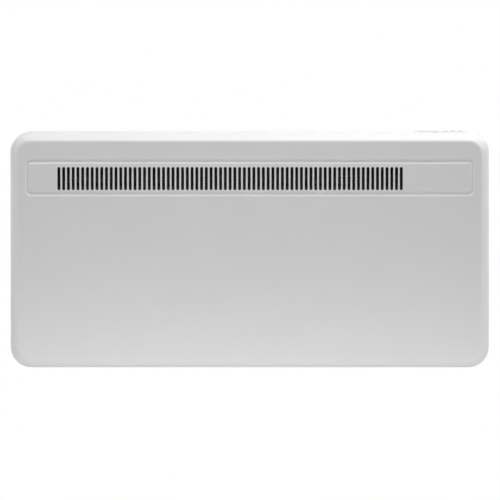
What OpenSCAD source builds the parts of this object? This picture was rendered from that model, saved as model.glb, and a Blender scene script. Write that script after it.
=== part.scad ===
// Wall-hung electric panel heater on its hinged wall bracket, in millimetres.
// The wall is the plane y = 0, the front faces -Y, and the origin lies midway between the four wall screws.

/* [Case] */
// Width of the case over its sides
body_w = 878; // [800:1:1100]
// Height of the case
body_h = 432; // [400:1:500]
// Depth of the front panel, from its face to its rear lip
body_d = 84; // [76:1:100]
// Thickness of the case sheet
sheet = 0.8; // [0.6:0.1:1.2]
// Corner radius of the case, seen from the front
corner_r = 38; // [30:1:46]
// Width of the sloped border round the face
rim_slope = 14.2; // [8:0.1:16]
// Outside radius of the fold between the face and the sloped border
crease_r = 8; // [3:0.5:9]
// Width of the inner part of the border, which slopes at 45 degrees
rim_inner = 8.5; // [7:0.5:11]
// Depth of the whole border
rim_depth = 24; // [18:0.5:26]
// Outside radius of the fold between the border's two parts
rim_fold_r = 12; // [3:0.5:12]
// Outside radius of the fold at the rear lip
fold_r = 1.6; // [1.3:0.1:2.4]
// Width of the lip turned in at the rear
rear_lip = 14; // [12:1:18]
// Inset of the back panel from the edge of the case
back_inset = 2; // [1:0.5:3]

/* [Outlet] */
// Number of outlet slots
slot_count = 73; // [20:1:74]
// Distance between two outlet slots
slot_pitch = 8.7; // [7:0.1:8.9]
// Width of an outlet slot
slot_w = 5.4; // [3:0.1:5.5]
// Length of an outlet slot over its round ends
slot_len = 42.4; // [30:0.1:44]
// Distance from the middle of the face to the middle of the slot row, to the left
slot_shift = 36; // [30:1:42]
// Distance from the top of the case to the middle of the grooved band
outlet_drop = 82.2; // [76:0.1:90]
// Distance from the middle of the band down to the middle of the slots
slot_sink = 1.3; // [0:0.1:2]
// Height of the grooved band round the slots
band_h = 59.4; // [54:0.2:66]
// Distance from the side of the case to the groove
band_inset = 31.7; // [24:0.1:36]
// Corner radius of the groove
band_r = 7.3; // [5:0.1:10]
// Width of the groove
groove_w = 9; // [4:0.5:10]
// Depth of the groove
groove_depth = 1.8; // [0.6:0.1:2.2]
// Radius of the outlet guard's wires
guard_wire_r = 0.7; // [0.6:0.1:1.2]
// Number of long wires in the outlet guard
guard_wires = 3; // [2:1:4]
// Distance between two long wires
guard_pitch = 5.6; // [4:0.1:7]
// Distance from the middle of the slots down to the rolled edge of the outlet sill
sill_drop = 15.8; // [14:0.1:18]

/* [Inlet] */
// Number of inlet slots under the case
inlet_count = 44; // [10:1:46]
// Distance between two inlet slots
inlet_pitch = 14; // [12:0.5:15]
// Width of an inlet slot
inlet_w = 6; // [4:0.5:8]
// Length of an inlet slot over its round ends
inlet_len = 40; // [30:1:46]

/* [Duct] */
// Thickness of the inner sheets
duct_sheet = 0.6; // [0.5:0.1:1]
// Distance from the heat shield to the back panel
shield_gap = 15; // [12:1:20]
// Width of the feet of the inner sheets
foot_w = 12; // [8:1:14]

/* [Heating element] */
// Height of the element's middle above the bottom of the case
element_up = 105; // [90:1:120]
// Distance from the element's middle to the back panel
element_out = 46; // [42:1:50]
// Distance from the end of the finned body to the end of the duct
element_end = 57; // [48:1:70]
// Length of one fin, from the middle of the element
fin_len = 29; // [22:1:30]
// Thickness of a fin
fin_t = 1.8; // [1.2:0.1:2.4]
// Radius of the sheathed rod
rod_r = 4.1; // [3.2:0.1:5]
// Thickness of the element's brackets
element_sheet = 1.2; // [0.8:0.1:2]
// Radius of the ceramic bush where the bracket holds it
bush_r = 7.5; // [6.8:0.1:9]

/* [Controls] */
// Distance from the side of the case to the middle of the control panel
pod_inset = 89; // [87:1:96]
// Width of the control panel
pod_w = 96; // [94:1:98]
// Depth of the control panel
pod_d = 50; // [48:1:54]
// Height of the control panel above the top of the case
pod_proud = 0.8; // [0.5:0.1:1.5]
// Radius of a button
button_r = 4.4; // [3.6:0.1:4.8]
// Travel of a button
button_travel = 0.8; // [0.4:0.1:1]
// Height of a button above the control panel
button_proud = 1.1; // [0.9:0.1:1.6]
// Distance between two buttons
button_pitch = 13; // [12.4:0.1:13.4]
// Width of the display lens
lens_w = 38; // [30:1:40]
// Depth of the display lens
lens_d = 28; // [22:1:30]
// Thickness of the display lens
lens_t = 1.2; // [0.8:0.1:1.5]

/* [Wall bracket] */
// Distance from the wall to the back panel
wall_gap = 23; // [22:0.5:28]
// Thickness of the bracket sheet
bracket_t = 1.5; // [1.2:0.1:2]
// Distance between the middles of the two arms
arm_span = 500; // [440:5:560]
// Width of an arm over its cheeks
arm_w = 40; // [34:1:46]
// Distance from the wall to the front of an arm
arm_d = 18; // [17:0.5:19]
// Width of an arm's flange beside its cheek
flange_w = 12; // [10:1:16]
// Distance between the left and right wall screws
screw_span = 400; // [300:5:420]
// Distance between the upper and lower wall screws
screw_rise = 230; // [200:5:260]
// Diameter of a wall screw hole
screw_hole_d = 5.5; // [4.5:0.1:6.5]
// Height of a rail
rail_h = 34; // [28:1:44]
// Height of the hinge axis above the bottom of the case
pivot_up = 31; // [26:1:36]
// Distance from the wall to the hinge axis
pivot_out = 10; // [9.5:0.1:10.5]
// Radius of a hinge pin
pin_r = 4; // [3:0.1:4.2]
// Greatest forward tilt of the heater
tilt_max = 25; // [15:1:28]
// Distance from the top of the case to the latch tongues
latch_drop = 67; // [60:1:80]
// Distance from the top of the case to the rubber pads
bumper_drop = 176; // [150:1:200]

/* [Cable inlet] */
// Radius of the cable bore
cable_r = 3.6; // [3:0.1:5]
// Height of the cable inlet above the bottom of the case
cable_up = 51; // [44:1:54]

/* [Clearances] */
// Play round a pin, rod, bush or screw in its hole
fit_play = 0.05; // [0.02:0.01:0.1]
// Gap round a button, beside an arm and between the bracket and the case
move_gap = 0.3; // [0.2:0.05:0.5]
// Gap round a piece that lies in a cut-out
set_gap = 0.2; // [0.1:0.05:0.4]

/* [Hidden] */
$fn = 48;

// Colours
white = "#eceeee";
pale_grey = "#c9cccd";
zinc = "#b4b8ba";
bright_metal = "#cfd1d2";
dark_plastic = "#33363a";
smoke = "#202428";
board_green = "#2f6b48";
ceramic_white = "#e6e0d2";
rubber_black = "#232323";
wire_brown = "#6b4630";
lead_green = "#7c9a2c";

// Planes of the case, counted from the wall at y = 0
back_y = -wall_gap;
inner_y = back_y - sheet;
front_y = inner_y - body_d;
face_in = front_y + sheet;
top_z = body_h / 2;
bottom_z = -body_h / 2;

// Outlet and inlet
outlet_z = top_z - outlet_drop;
slot_z = outlet_z - slot_sink;
band_w = body_w - 2 * band_inset;
bead_back = face_in + groove_depth;
guard_y = bead_back + 4;
sill_y = guard_y + 2.6;
sill_roll_r = 1;
inlet_y = (front_y + rim_depth + inner_y) / 2;

// Duct and control space
pod_x = body_w / 2 - pod_inset;
duct_right = pod_x - pod_w / 2 - 2;
duct_left = -body_w / 2 + rear_lip + foot_w + 2;
duct_mid = (duct_left + duct_right) / 2;
duct_front = bead_back + 1;
duct_half_h = body_h / 2 - max(rim_slope, rear_lip) - 8;
duct_foot_half = body_h / 2 - corner_r - 2;
guide_r = inner_y - face_in;
guide_top = outlet_z + band_h / 2 + groove_w / 2 + 4;
guide_z = guide_top - guide_r;
shield_y = inner_y - shield_gap;
shield_top = guide_z - foot_w - 14;
shield_bottom = bottom_z + rear_lip + 14;

// Heating element
element_z = bottom_z + element_up;
element_y = inner_y - element_out;
element_left = duct_left + element_end;
element_right = duct_right - element_end;
bracket_back_off = 10;
rod_over = element_end - 20;
bore_r = rod_r + fit_play;
core_r = bore_r + 2.2;
bush_hole_r = bush_r + fit_play;
bush_rim_r = bush_r + 2.5;
bush_rim_t = 2;
bush_len = 9;
pin_wire_r = 1.5;
lead_r = 1.6;
return_lead_y = inner_y - 8;
return_lead_z = element_z - 33;
lead_end_x = duct_right + 34;

// Control panel
pod_y = inlet_y;
pod_lip = 3;
pod_wall = 1.6;
pod_deck_z = top_z - 1.2;
pod_top = top_z + pod_proud;
pod_r = 6;
pod_hole_w = pod_w - 2 * pod_lip;
pod_hole_d = pod_d - 2 * pod_lip;
pod_body_w = pod_hole_w - 2 * set_gap;
pod_body_d = pod_hole_d - 2 * set_gap;
pod_hole_r = pod_r - pod_lip;
pod_foot_z = top_z - 17;
board_t = 1.6;
display_board_z = top_z - 11;
switch_top = display_board_z + 5;
lens_x = pod_x - 22;
buttons_x = pod_x + 10;
button_places = [
  [buttons_x + 2 * button_pitch, pod_y],
  [buttons_x, pod_y + button_pitch * 0.62],
  [buttons_x + button_pitch, pod_y + button_pitch * 0.62],
  [buttons_x, pod_y - button_pitch * 0.62],
  [buttons_x + button_pitch, pod_y - button_pitch * 0.62]
];

// Boards behind the control panel
power_w = 78;
power_h = 118;
power_x = pod_x + 5;
power_z = bottom_z + 140;
spacer_h = 12;
power_y = inner_y - spacer_h;
power_face = power_y - board_t;
relay_x = lead_end_x;
relay_size = [15, 20, 28];
relay_z = element_z;
ribbon_w = 16;
ribbon_t = 1;
ribbon_x = pod_x - 20;
plug_h = 8;
ribbon_top = display_board_z - board_t - plug_h;
ribbon_foot = power_z + power_h / 2 - 22;
ribbon_foot_y = power_face - 8;
ribbon_slant = 60;

// Cable inlet
cable_x = pod_x + 50;
cable_z = bottom_z + cable_up;
gland_shank_r = 7.9;
gland_flat = 22;
gland_out = 9;
terminal_z = bottom_z + 48;
terminal_size = [44, 20, 20];

// Case screws
screw_r = 1.75;
screw_hole_r = screw_r + fit_play;
screw_inset = back_inset + (rear_lip - back_inset) / 2;
screw_row = (body_w / 2 - corner_r - 20) / 2;
screw_column = body_h / 2 * 0.42;
screw_places = concat(
  [for (i = [-2 : 2], s = [-1, 1]) [i * screw_row, s * (body_h / 2 - screw_inset)]],
  [for (i = [-1, 1], s = [-1, 1]) [s * (body_w / 2 - screw_inset), i * screw_column]]
);

// Wall bracket and hinge
pivot_y = -pivot_out;
pivot_z = bottom_z + pivot_up;
seat_r = pin_r + fit_play;
flange_y = -bracket_t;
flange_face = flange_y - bracket_t;
arm_face = -arm_d;
arm_top = top_z - latch_drop + 16;
arm_foot = pivot_z - pin_r - 6;
flange_foot = pivot_z - 20;
hook_lip = 3;
hook_mouth = 2 * pin_r + 2;
lug_t = 2;
lug_x = arm_w / 2 + move_gap + 0.5;
lug_foot_w = 14;
lug_r = min(pin_r + 2.2, flange_face - pivot_y - move_gap);
heel_reach = flange_face - pivot_y - move_gap;
heel_len = 13;
clip_groove = 1;
latch_z = top_z - latch_drop;
tongue_t = 1.2;
tongue_w = 16;
tongue_tip = -arm_d + 5;
leaf_t = 0.8;
leaf_gap = 0.6;
latch_w = 24;
window_h = tongue_t + 2 * (leaf_gap + leaf_t) + 2;
clip_foot = 11;
rivet_r = 1.6;
rivet_z = window_h / 2 + (clip_foot - 1) / 2 + 1;
rail_len = arm_span + arm_w + 2 * flange_w;
bumper_z = top_z - bumper_drop;

// Points of a circular arc about [cx, cy]
function arc(cx, cy, r, from, to, steps) =
  [for (i = [0 : steps]) let (a = from + (to - from) * i / steps) [cx + r * cos(a), cy + r * sin(a)]];

function left_of(a, b) = let (d = (b - a) / norm(b - a)) [-d[1], d[0]];

// Corner of a folded sheet's far face, opposite point i of its near face
function mitre(path, i, t) =
  let (last = len(path) - 1)
  let (before = left_of(path[max(i - 1, 0)], path[max(i, 1)]))
  let (after = left_of(path[min(i, last - 1)], path[min(i + 1, last)]))
  path[i] + t * (before + after) / (1 + before * after);

// Section of a folded sheet whose one face follows the path and whose thickness lies to its left
function folded(path, t) =
  concat(path, [for (i = [len(path) - 1 : -1 : 0]) mitre(path, i, t)]);

// Arc of n steps that rounds the corner b between a and c
function corner_arc(a, b, c, r, n) =
  let (u = (a - b) / norm(a - b), v = (c - b) / norm(c - b), half = acos(u * v) / 2)
  let (centre = b + (u + v) / norm(u + v) * r / sin(half))
  let (start = b + u * r / tan(half) - centre, end = b + v * r / tan(half) - centre)
  let (from = atan2(start[1], start[0]), turn = atan2(end[1], end[0]) - from)
  arc(centre[0], centre[1], r, from, from + turn - 360 * round(turn / 360), n);

// Section of the front panel's border: across the corner radius, and back from the face
function rim_section() =
  let (crease = corner_r - rim_slope, fold = crease + rim_inner, lip = corner_r - rear_lip)
  let (outer = [[corner_r, rim_depth], [corner_r, body_d], [lip, body_d]])
  let (points = concat([[0, 0], [crease, 0], [fold, rim_inner]], outer))
  let (bends = [crease_r, rim_fold_r, rim_fold_r, fold_r], steps = [5, 4, 3, 4])
  folded(
    concat(
      [points[0]],
      [for (i = [0 : 3], q = corner_arc(points[i], points[i + 1], points[i + 2], bends[i], steps[i])) q],
      [points[5]]
    ),
    sheet
  );

// Draws a front view in x and z, and gives it depth from the given plane towards the wall
module front_view(y) {
  translate([0, y, 0])
    rotate([90, 0, 0])
      mirror([0, 0, 1])
        children();
}

// Draws a side view in y and z between two places along x
module side_view(x0, x1) {
  translate([x0, 0, 0])
    rotate([90, 0, 90])
      linear_extrude(x1 - x0)
        children();
}

// Sweeps a section round a rectangle with round corners, without its middle
module swept_frame(w, h, r) {
  for (q = [0 : 3]) {
    across = (q % 2 == 0 ? w : h) / 2 - r;
    along = (q % 2 == 0 ? h : w) / 2 - r;
    rotate([0, 0, q * 90])
      translate([across, along, 0]) {
        rotate_extrude(angle = 90, $fn = 96) children();
        rotate([90, 0, 0]) linear_extrude(2 * along) children();
      }
  }
}

module rounded_rect(w, h, r) {
  square([w - 2 * r, h], center = true);
  square([w, h - 2 * r], center = true);
  for (sx = [-1, 1], sy = [-1, 1])
    translate([sx * (w / 2 - r), sy * (h / 2 - r)]) circle(r);
}

// A slot with round ends, standing up
module slot_shape(w, len) {
  square([w, len - w], center = true);
  for (s = [-1, 1])
    translate([0, s * (len - w) / 2]) circle(w / 2, $fn = 24);
}

module x_cylinder(x0, x1, y, z, r) {
  translate([x0, y, z]) rotate([0, 90, 0]) cylinder(r = r, h = x1 - x0);
}

module y_cylinder(x, y0, y1, z, r) {
  translate([x, y1, z]) rotate([90, 0, 0]) cylinder(r = r, h = y1 - y0);
}

// Points across the groove, with its depth at each, from one shoulder to the other
function groove_line(half) =
  [for (i = [-4 : 4]) [band_r + i / 4 * half, groove_depth * (1 + cos(45 * i)) / 2]];

// Points across the bead behind the groove
function bead_line(half, knee, crest) =
  let (top = sheet + groove_depth, low = sheet + 0.3 * groove_depth)
  [
    [band_r - half, sheet], [band_r - knee, low], [band_r - crest, top], [band_r + crest, top],
    [band_r + knee, low], [band_r + half, sheet]
  ];

// Groove pressed into the face: the open hollow in front, and the bead that it raises behind
module groove_ring(front) {
  half = groove_w / 2;
  wide = half + sheet / 2;
  translate([0, outlet_z, 0])
    swept_frame(band_w, band_h, band_r)
      if (front)
        polygon(concat([[band_r - half, -1]], groove_line(half), [[band_r + half, -1]]));
      else
        polygon(concat([[band_r - wide, sheet / 2]], bead_line(wide, wide * 0.62, wide * 0.18),
          [[band_r + wide, sheet / 2]]));
}

module outlet_slots() {
  for (i = [0 : slot_count - 1])
    translate([(i - (slot_count - 1) / 2) * slot_pitch - slot_shift, slot_z])
      slot_shape(slot_w, slot_len);
}

module inlet_slots() {
  for (i = [0 : inlet_count - 1])
    translate([duct_mid + (i - (inlet_count - 1) / 2) * inlet_pitch, inlet_y])
      slot_shape(inlet_w, inlet_len);
}

// The front panel is pressed from one sheet: the flat face, its grooved band of slots, the sloped
// border swept round the corners, the sides and the lip turned in at the rear.
module front_panel() {
  color(white)
    difference() {
      front_view(front_y) {
        difference() {
          union() {
            linear_extrude(sheet) square([body_w - 2 * corner_r, body_h - 2 * corner_r], center = true);
            swept_frame(body_w, body_h, corner_r) polygon(rim_section());
            groove_ring(false);
          }
          groove_ring(true);
          translate([0, 0, -1]) linear_extrude(sheet + 2) outlet_slots();
        }
      }
      translate([0, 0, bottom_z - 1]) linear_extrude(sheet + 2) inlet_slots();
      translate([pod_x, pod_y, top_z - 2 * sheet])
        linear_extrude(4 * sheet) rounded_rect(pod_hole_w, pod_hole_d, pod_hole_r);
      for (p = screw_places)
        y_cylinder(p[0], inner_y - sheet - 1, inner_y + 1, p[1], screw_hole_r);
    }
}

// A shallow stiffening bead pressed towards the wall
module back_bead(x, z, w, h) {
  translate([x, back_y - sheet, z])
    rotate([90, 0, 0]) mirror([0, 0, 1]) linear_extrude(sheet + 2) rounded_rect(w, h, 5.9);
}

module back_bead_hollow(x, z, w, h) {
  translate([x, back_y - sheet - 1, z])
    rotate([90, 0, 0]) mirror([0, 0, 1]) linear_extrude(3) rounded_rect(w - 2 * sheet, h - 2 * sheet, 5);
}

bead_rows = [for (i = [-1 : 1]) i * body_h * 0.2];
bead_w = arm_span - arm_w - 2 * flange_w - 24;
side_bead_w = body_w / 2 - arm_span / 2 - arm_w / 2 - flange_w - 60;
side_bead_x = arm_span / 2 + arm_w / 2 + flange_w + 10 + side_bead_w / 2;

module back_panel() {
  color(pale_grey)
    difference() {
      union() {
        front_view(inner_y)
          linear_extrude(sheet)
            rounded_rect(body_w - 2 * back_inset, body_h - 2 * back_inset, corner_r - back_inset);
        for (z = bead_rows) {
          back_bead(0, z, bead_w, 14);
          back_bead(-side_bead_x, z, side_bead_w, 14);
        }
      }
      for (z = bead_rows) {
        back_bead_hollow(0, z, bead_w, 14);
        back_bead_hollow(-side_bead_x, z, side_bead_w, 14);
      }
      for (p = screw_places)
        y_cylinder(p[0], inner_y - 1, back_y + 1, p[1], screw_hole_r);
      y_cylinder(cable_x, inner_y - 1, back_y + 1, cable_z, gland_shank_r + fit_play);
    }
}

// Pan-head screw in the back panel, its head towards the wall
module case_screw(x, z) {
  translate([x, back_y, z])
    rotate([-90, 0, 0])
      difference() {
        rotate_extrude()
          polygon([[0, -8], [0.6, -8], [screw_r, -6.4], [screw_r, 0], [3.4, 0], [3.4, 1], [2.6, 1.9],
            [0, 2.2]]);
        for (a = [0, 90])
          rotate([0, 0, a]) translate([-1.7, -0.35, 1]) cube([3.4, 0.7, 2]);
      }
}

module case_screws() {
  color(zinc)
    for (p = screw_places) case_screw(p[0], p[1]);
}

// Curved sheet that turns the warm air forward to the slots
module air_guide() {
  path = concat(
    [[inner_y, guide_z - foot_w]],
    arc(inner_y - guide_r, guide_z, guide_r, 0, 84, 14),
    [[face_in + duct_sheet + 4, guide_top], [face_in + duct_sheet, guide_top + 2],
      [face_in + duct_sheet, guide_top + 2 + foot_w]]
  );
  color(zinc)
    side_view(duct_left + duct_sheet, duct_right - duct_sheet)
      polygon(folded(path, duct_sheet));
}

// Wire guard behind the slots: long wires welded to flat uprights whose feet reach the face
module outlet_guard() {
  half_row = (slot_count - 1) / 2 * slot_pitch + slot_w;
  foot_z = slot_len / 2 + 2.6;
  uprights = 9;
  color(dark_plastic) {
    for (i = [0 : guard_wires - 1])
      x_cylinder(-slot_shift - half_row, -slot_shift + half_row, guard_y,
        outlet_z + guard_pitch * (0.4 - i), guard_wire_r, $fn = 16);
    for (i = [0 : uprights - 1]) {
      x = -slot_shift + (i - (uprights - 1) / 2) * 9 * slot_pitch + slot_pitch / 2;
      translate([x - 1.3, guard_y, outlet_z - foot_z - 1]) cube([2.6, 1, 2 * foot_z + 2]);
      for (s = [-1, 1])
        translate([x - 1.3, face_in, outlet_z + s * foot_z - 1]) cube([2.6, guard_y - face_in + 0.5, 2]);
    }
  }
}

// Sheet below the slots with a rolled upper edge, its foot on the back of the face under the groove
module outlet_sill() {
  foot_top = outlet_z - band_h / 2 - groove_w / 2 - 3;
  roll_z = slot_z - sill_drop;
  path = [[face_in, foot_top - foot_w], [face_in, foot_top], [sill_y, foot_top + 7], [sill_y, roll_z]];
  left = -slot_shift - slot_count / 2 * slot_pitch - 4;
  right = -slot_shift + slot_count / 2 * slot_pitch + 4;
  color(dark_plastic) {
    side_view(left, right) polygon(folded(path, -duct_sheet));
    x_cylinder(left, right, sill_y + duct_sheet / 2, roll_z, sill_roll_r, $fn = 24);
  }
}

// Sheet that closes one end of the duct, with a foot on the back panel
module duct_end(x, side, holes) {
  difference() {
    union() {
      translate([x - duct_sheet / 2, duct_front, -duct_half_h])
        cube([duct_sheet, inner_y - duct_front, 2 * duct_half_h]);
      translate([side > 0 ? x : x - foot_w, inner_y - duct_sheet, -duct_foot_half])
        cube([foot_w, duct_sheet, 2 * duct_foot_half]);
    }
    if (holes)
      for (p = lead_holes())
        x_cylinder(x - 3, x + 3, p[0], p[1], grommet_r);
  }
}

grommet_r = 4;
function lead_holes() = [[element_y, element_z], [return_lead_y, return_lead_z], [cutout_tab_y, cutout_z]];

module duct_end_left() {
  color(zinc) duct_end(duct_left, -1, false);
}

module duct_end_right() {
  color(zinc) duct_end(duct_right, 1, true);
}

// Tray that keeps the heat off the back panel
module heat_shield() {
  path = [
    [inner_y, shield_bottom], [inner_y, shield_bottom + foot_w],
    [shield_y, shield_bottom + foot_w + 10], [shield_y, shield_top - foot_w - 10],
    [inner_y, shield_top - foot_w], [inner_y, shield_top]
  ];
  color(bright_metal)
    side_view(element_left, element_right)
      polygon(folded(path, duct_sheet));
}

// Extruded aluminium body with crossed fins and short ribs on each fin
module element_body() {
  color(bright_metal)
    side_view(element_left, element_right)
      translate([element_y, element_z])
        difference() {
          union() {
            circle(core_r);
            for (a = [58, 122, 238, 302])
              rotate(a) {
                translate([0, -fin_t / 2]) square([fin_len, fin_t]);
                for (d = [0.45, 0.65, 0.85])
                  translate([d * fin_len, -3.6]) square([1.1, 7.2]);
              }
          }
          circle(bore_r);
        }
}

// Sheathed rod with a terminal pin at each end
module element_rod() {
  left = element_left - rod_over;
  right = element_right + rod_over;
  color(zinc) {
    x_cylinder(left, right, element_y, element_z, rod_r);
    x_cylinder(left - 7, left + 1, element_y, element_z, pin_wire_r);
    x_cylinder(right - 1, right + 7, element_y, element_z, pin_wire_r);
  }
}

function element_bracket_x(side) =
  side < 0 ? element_left - bracket_back_off : element_right + bracket_back_off;

// Bracket with a foot on the back panel, holding one end of the element
module element_bracket(side) {
  x = element_bracket_x(side);
  reach = bush_hole_r + 6;
  color(zinc)
    difference() {
      union() {
        side_view(x - element_sheet / 2, x + element_sheet / 2) {
          translate([element_y, element_z]) circle(reach);
          polygon([[element_y, element_z - reach], [inner_y, element_z - reach - 8],
            [inner_y, element_z + reach + 8], [element_y, element_z + reach]]);
        }
        translate([side < 0 ? x - foot_w : x, inner_y - element_sheet, element_z - reach - 8])
          cube([foot_w, element_sheet, 2 * (reach + 8)]);
      }
      x_cylinder(x - 3, x + 3, element_y, element_z, bush_hole_r);
    }
}

module element_bracket_left() {
  element_bracket(-1);
}

module element_bracket_right() {
  element_bracket(1);
}

// Ceramic bush, with its rim on the outer face of its bracket
module ceramic_bush(side) {
  rim = element_sheet / 2;
  translate([element_bracket_x(side), element_y, element_z])
    rotate([0, side * 90, 0])
      rotate_extrude()
        polygon([[bore_r, -bush_len / 2], [bush_r, -bush_len / 2], [bush_r, rim], [bush_rim_r, rim],
          [bush_rim_r, rim + bush_rim_t], [bore_r, rim + bush_rim_t]]);
}

module ceramic_bushes() {
  color(ceramic_white)
    for (side = [-1, 1]) ceramic_bush(side);
}

// Insulated wire through the given places. Its elbows are a little thicker than the wire.
module wire(points, r) {
  for (i = [0 : len(points) - 2]) {
    step = points[i + 1] - points[i];
    length = norm(step);
    turn = atan2(step[1], step[0]);
    translate(points[i])
      rotate([0, acos(step[2] / length), turn])
        cylinder(r = r, h = length, $fn = 16);
    if (i > 0)
      translate(points[i]) sphere(r + elbow_extra, $fn = 16);
  }
}

// Wires of the element: a short one to the relay, and one from the far end behind the shield
module element_leads() {
  right = element_right + rod_over + 7;
  left = element_left - rod_over - 7;
  elbow = left - 6;
  color(wire_brown) {
    wire([[right, element_y, element_z], [relay_x, element_y, element_z],
      [relay_x, power_face - relay_size[1], element_z]], lead_r);
    wire([[left, element_y, element_z], [elbow, element_y, element_z],
      [elbow, return_lead_y, return_lead_z], [pod_x, return_lead_y, return_lead_z],
      [pod_x, return_lead_y, terminal_top]], lead_r);
  }
}

thin_lead_r = 1.2;
elbow_extra = 0.08;
terminal_top = terminal_z + terminal_size[2] / 2;
terminal_way = terminal_size[0] / 3;
terminal_lead_y = inner_y - 15;

// Wires from the terminal block to the power board
module supply_leads() {
  foot_z = power_z - power_h / 2;
  front = power_face - 8;
  color(wire_brown)
    for (w = [[-terminal_way, 4], [4.5, 7]]) {
      x = pod_x + w[0];
      wire([[x, terminal_lead_y, terminal_top], [x, terminal_lead_y, terminal_top + 8],
        [x, front, terminal_top + 8], [x, front, foot_z + w[1]], [x, power_face, foot_z + w[1]]],
        thin_lead_r);
    }
}

// Wire from the terminal block up to the washer of the earth stud
module earth_lead() {
  x = pod_x + terminal_way;
  knee = earth_z - earth_washer_r - 16;
  washer_mid = earth_washer_y + 0.5;
  color(lead_green)
    wire([[x, terminal_lead_y, terminal_top], [x, terminal_lead_y, knee], [cable_x, terminal_lead_y, knee],
      [cable_x, washer_mid, knee], [cable_x, washer_mid, earth_z - earth_washer_r]], thin_lead_r);
}

// Wires of the thermostat: both tabs meet in one sleeve that leaves the duct for the power board
module cutout_leads() {
  tab_end = cutout_tab_x + cutout_tab[0] / 2;
  left = cutout_x - tab_end;
  right = cutout_x + tab_end;
  exit_x = power_x - power_w / 2 + 3;
  foot = power_z + power_h / 2 - 8;
  color(rubber_black) {
    wire([[right, cutout_tab_y, cutout_z], [exit_x, cutout_tab_y, cutout_z], [exit_x, cutout_tab_y, foot],
      [exit_x, power_face, foot]], lead_r);
    wire([[left, cutout_tab_y, cutout_z], [left - 5, cutout_tab_y, cutout_z],
      [left - 5, cutout_tab_y, cutout_z + 14], [right + 8, cutout_tab_y, cutout_z + 14],
      [right + 8, cutout_tab_y, cutout_z]], thin_lead_r);
  }
}

// Wire of the room sensor to the foot of the power board
module sensor_lead() {
  tail = inlet_y - 16;
  foot = power_z - power_h / 2 + 5;
  color(rubber_black)
    wire([[sensor_x, tail, sensor_z], [sensor_x, tail - 6, sensor_z], [sensor_x, tail - 6, foot],
      [sensor_x, power_face, foot]], thin_lead_r);
}

module lead_grommets() {
  bore = lead_r + fit_play;
  half = duct_sheet / 2;
  color(rubber_black)
    for (p = lead_holes())
      translate([duct_right, p[0], p[1]])
        rotate([0, 90, 0])
          rotate_extrude()
            polygon([[bore, -half - 2], [grommet_r + 1.5, -half - 2], [grommet_r + 1.5, -half],
              [grommet_r - fit_play, -half], [grommet_r - fit_play, half], [grommet_r + 1.5, half],
              [grommet_r + 1.5, half + 2], [bore, half + 2]]);
}

cutout_x = element_right - 60;
cutout_z = (shield_top + element_z) / 2 + 20;
cutout_off = 8;
cutout_tab_x = 9;
cutout_tab = [6, 0.8, 6];
shield_face = shield_y - duct_sheet;
cutout_y = shield_face - cutout_off - duct_sheet;
cutout_tab_y = cutout_y - 8.1;

// Disc thermostat that cuts the element off when the duct overheats
module thermal_cutout() {
  y = cutout_y;
  color(dark_plastic)
    difference() {
      union() {
        y_cylinder(cutout_x, y - 5, y, cutout_z, 8);
        y_cylinder(cutout_x, y - 9, y - 5, cutout_z, 6.5);
        for (s = [-1, 1])
          translate([cutout_x + s * cutout_tab_x, cutout_tab_y, cutout_z]) cube(cutout_tab, center = true);
      }
      y_cylinder(cutout_x, y - 10, y - 8.2, cutout_z, 4);
    }
}

// Stepped strip that holds the thermostat off the shield
module cutout_bracket() {
  path = [
    [shield_face, cutout_z + 28], [shield_face, cutout_z + 18],
    [shield_face - cutout_off, cutout_z + 12], [shield_face - cutout_off, cutout_z - 12],
    [shield_face, cutout_z - 18], [shield_face, cutout_z - 28]
  ];
  color(zinc)
    side_view(cutout_x - 8, cutout_x + 8)
      polygon(folded(path, -duct_sheet));
}

sensor_r = 2.5;
sensor_x = duct_right + 30;
sensor_floor = bottom_z + sheet;
sensor_z = sensor_floor + 6;

// Sensor that reads the air let in beside the duct
module room_sensor() {
  color(bright_metal)
    translate([sensor_x, inlet_y, sensor_z])
      rotate([90, 0, 0])
        rotate_extrude()
          polygon([[0, -11], [1.6, -10.6], [sensor_r, -9], [sensor_r, 12], [1.4, 12], [1.4, 16], [0, 16]]);
}

module sensor_clip() {
  color(ceramic_white)
    difference() {
      union() {
        translate([sensor_x - 8, inlet_y - 5, sensor_floor]) cube([16, 10, 2]);
        translate([sensor_x - 4.2, inlet_y - 5, sensor_floor])
          cube([8.4, 10, sensor_z - sensor_floor + 1.4]);
      }
      y_cylinder(sensor_x, inlet_y - 6, inlet_y + 6, sensor_z, sensor_r + fit_play);
      translate([sensor_x - 1.8, inlet_y - 6, sensor_z]) cube([3.6, 12, 6]);
    }
}

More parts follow.
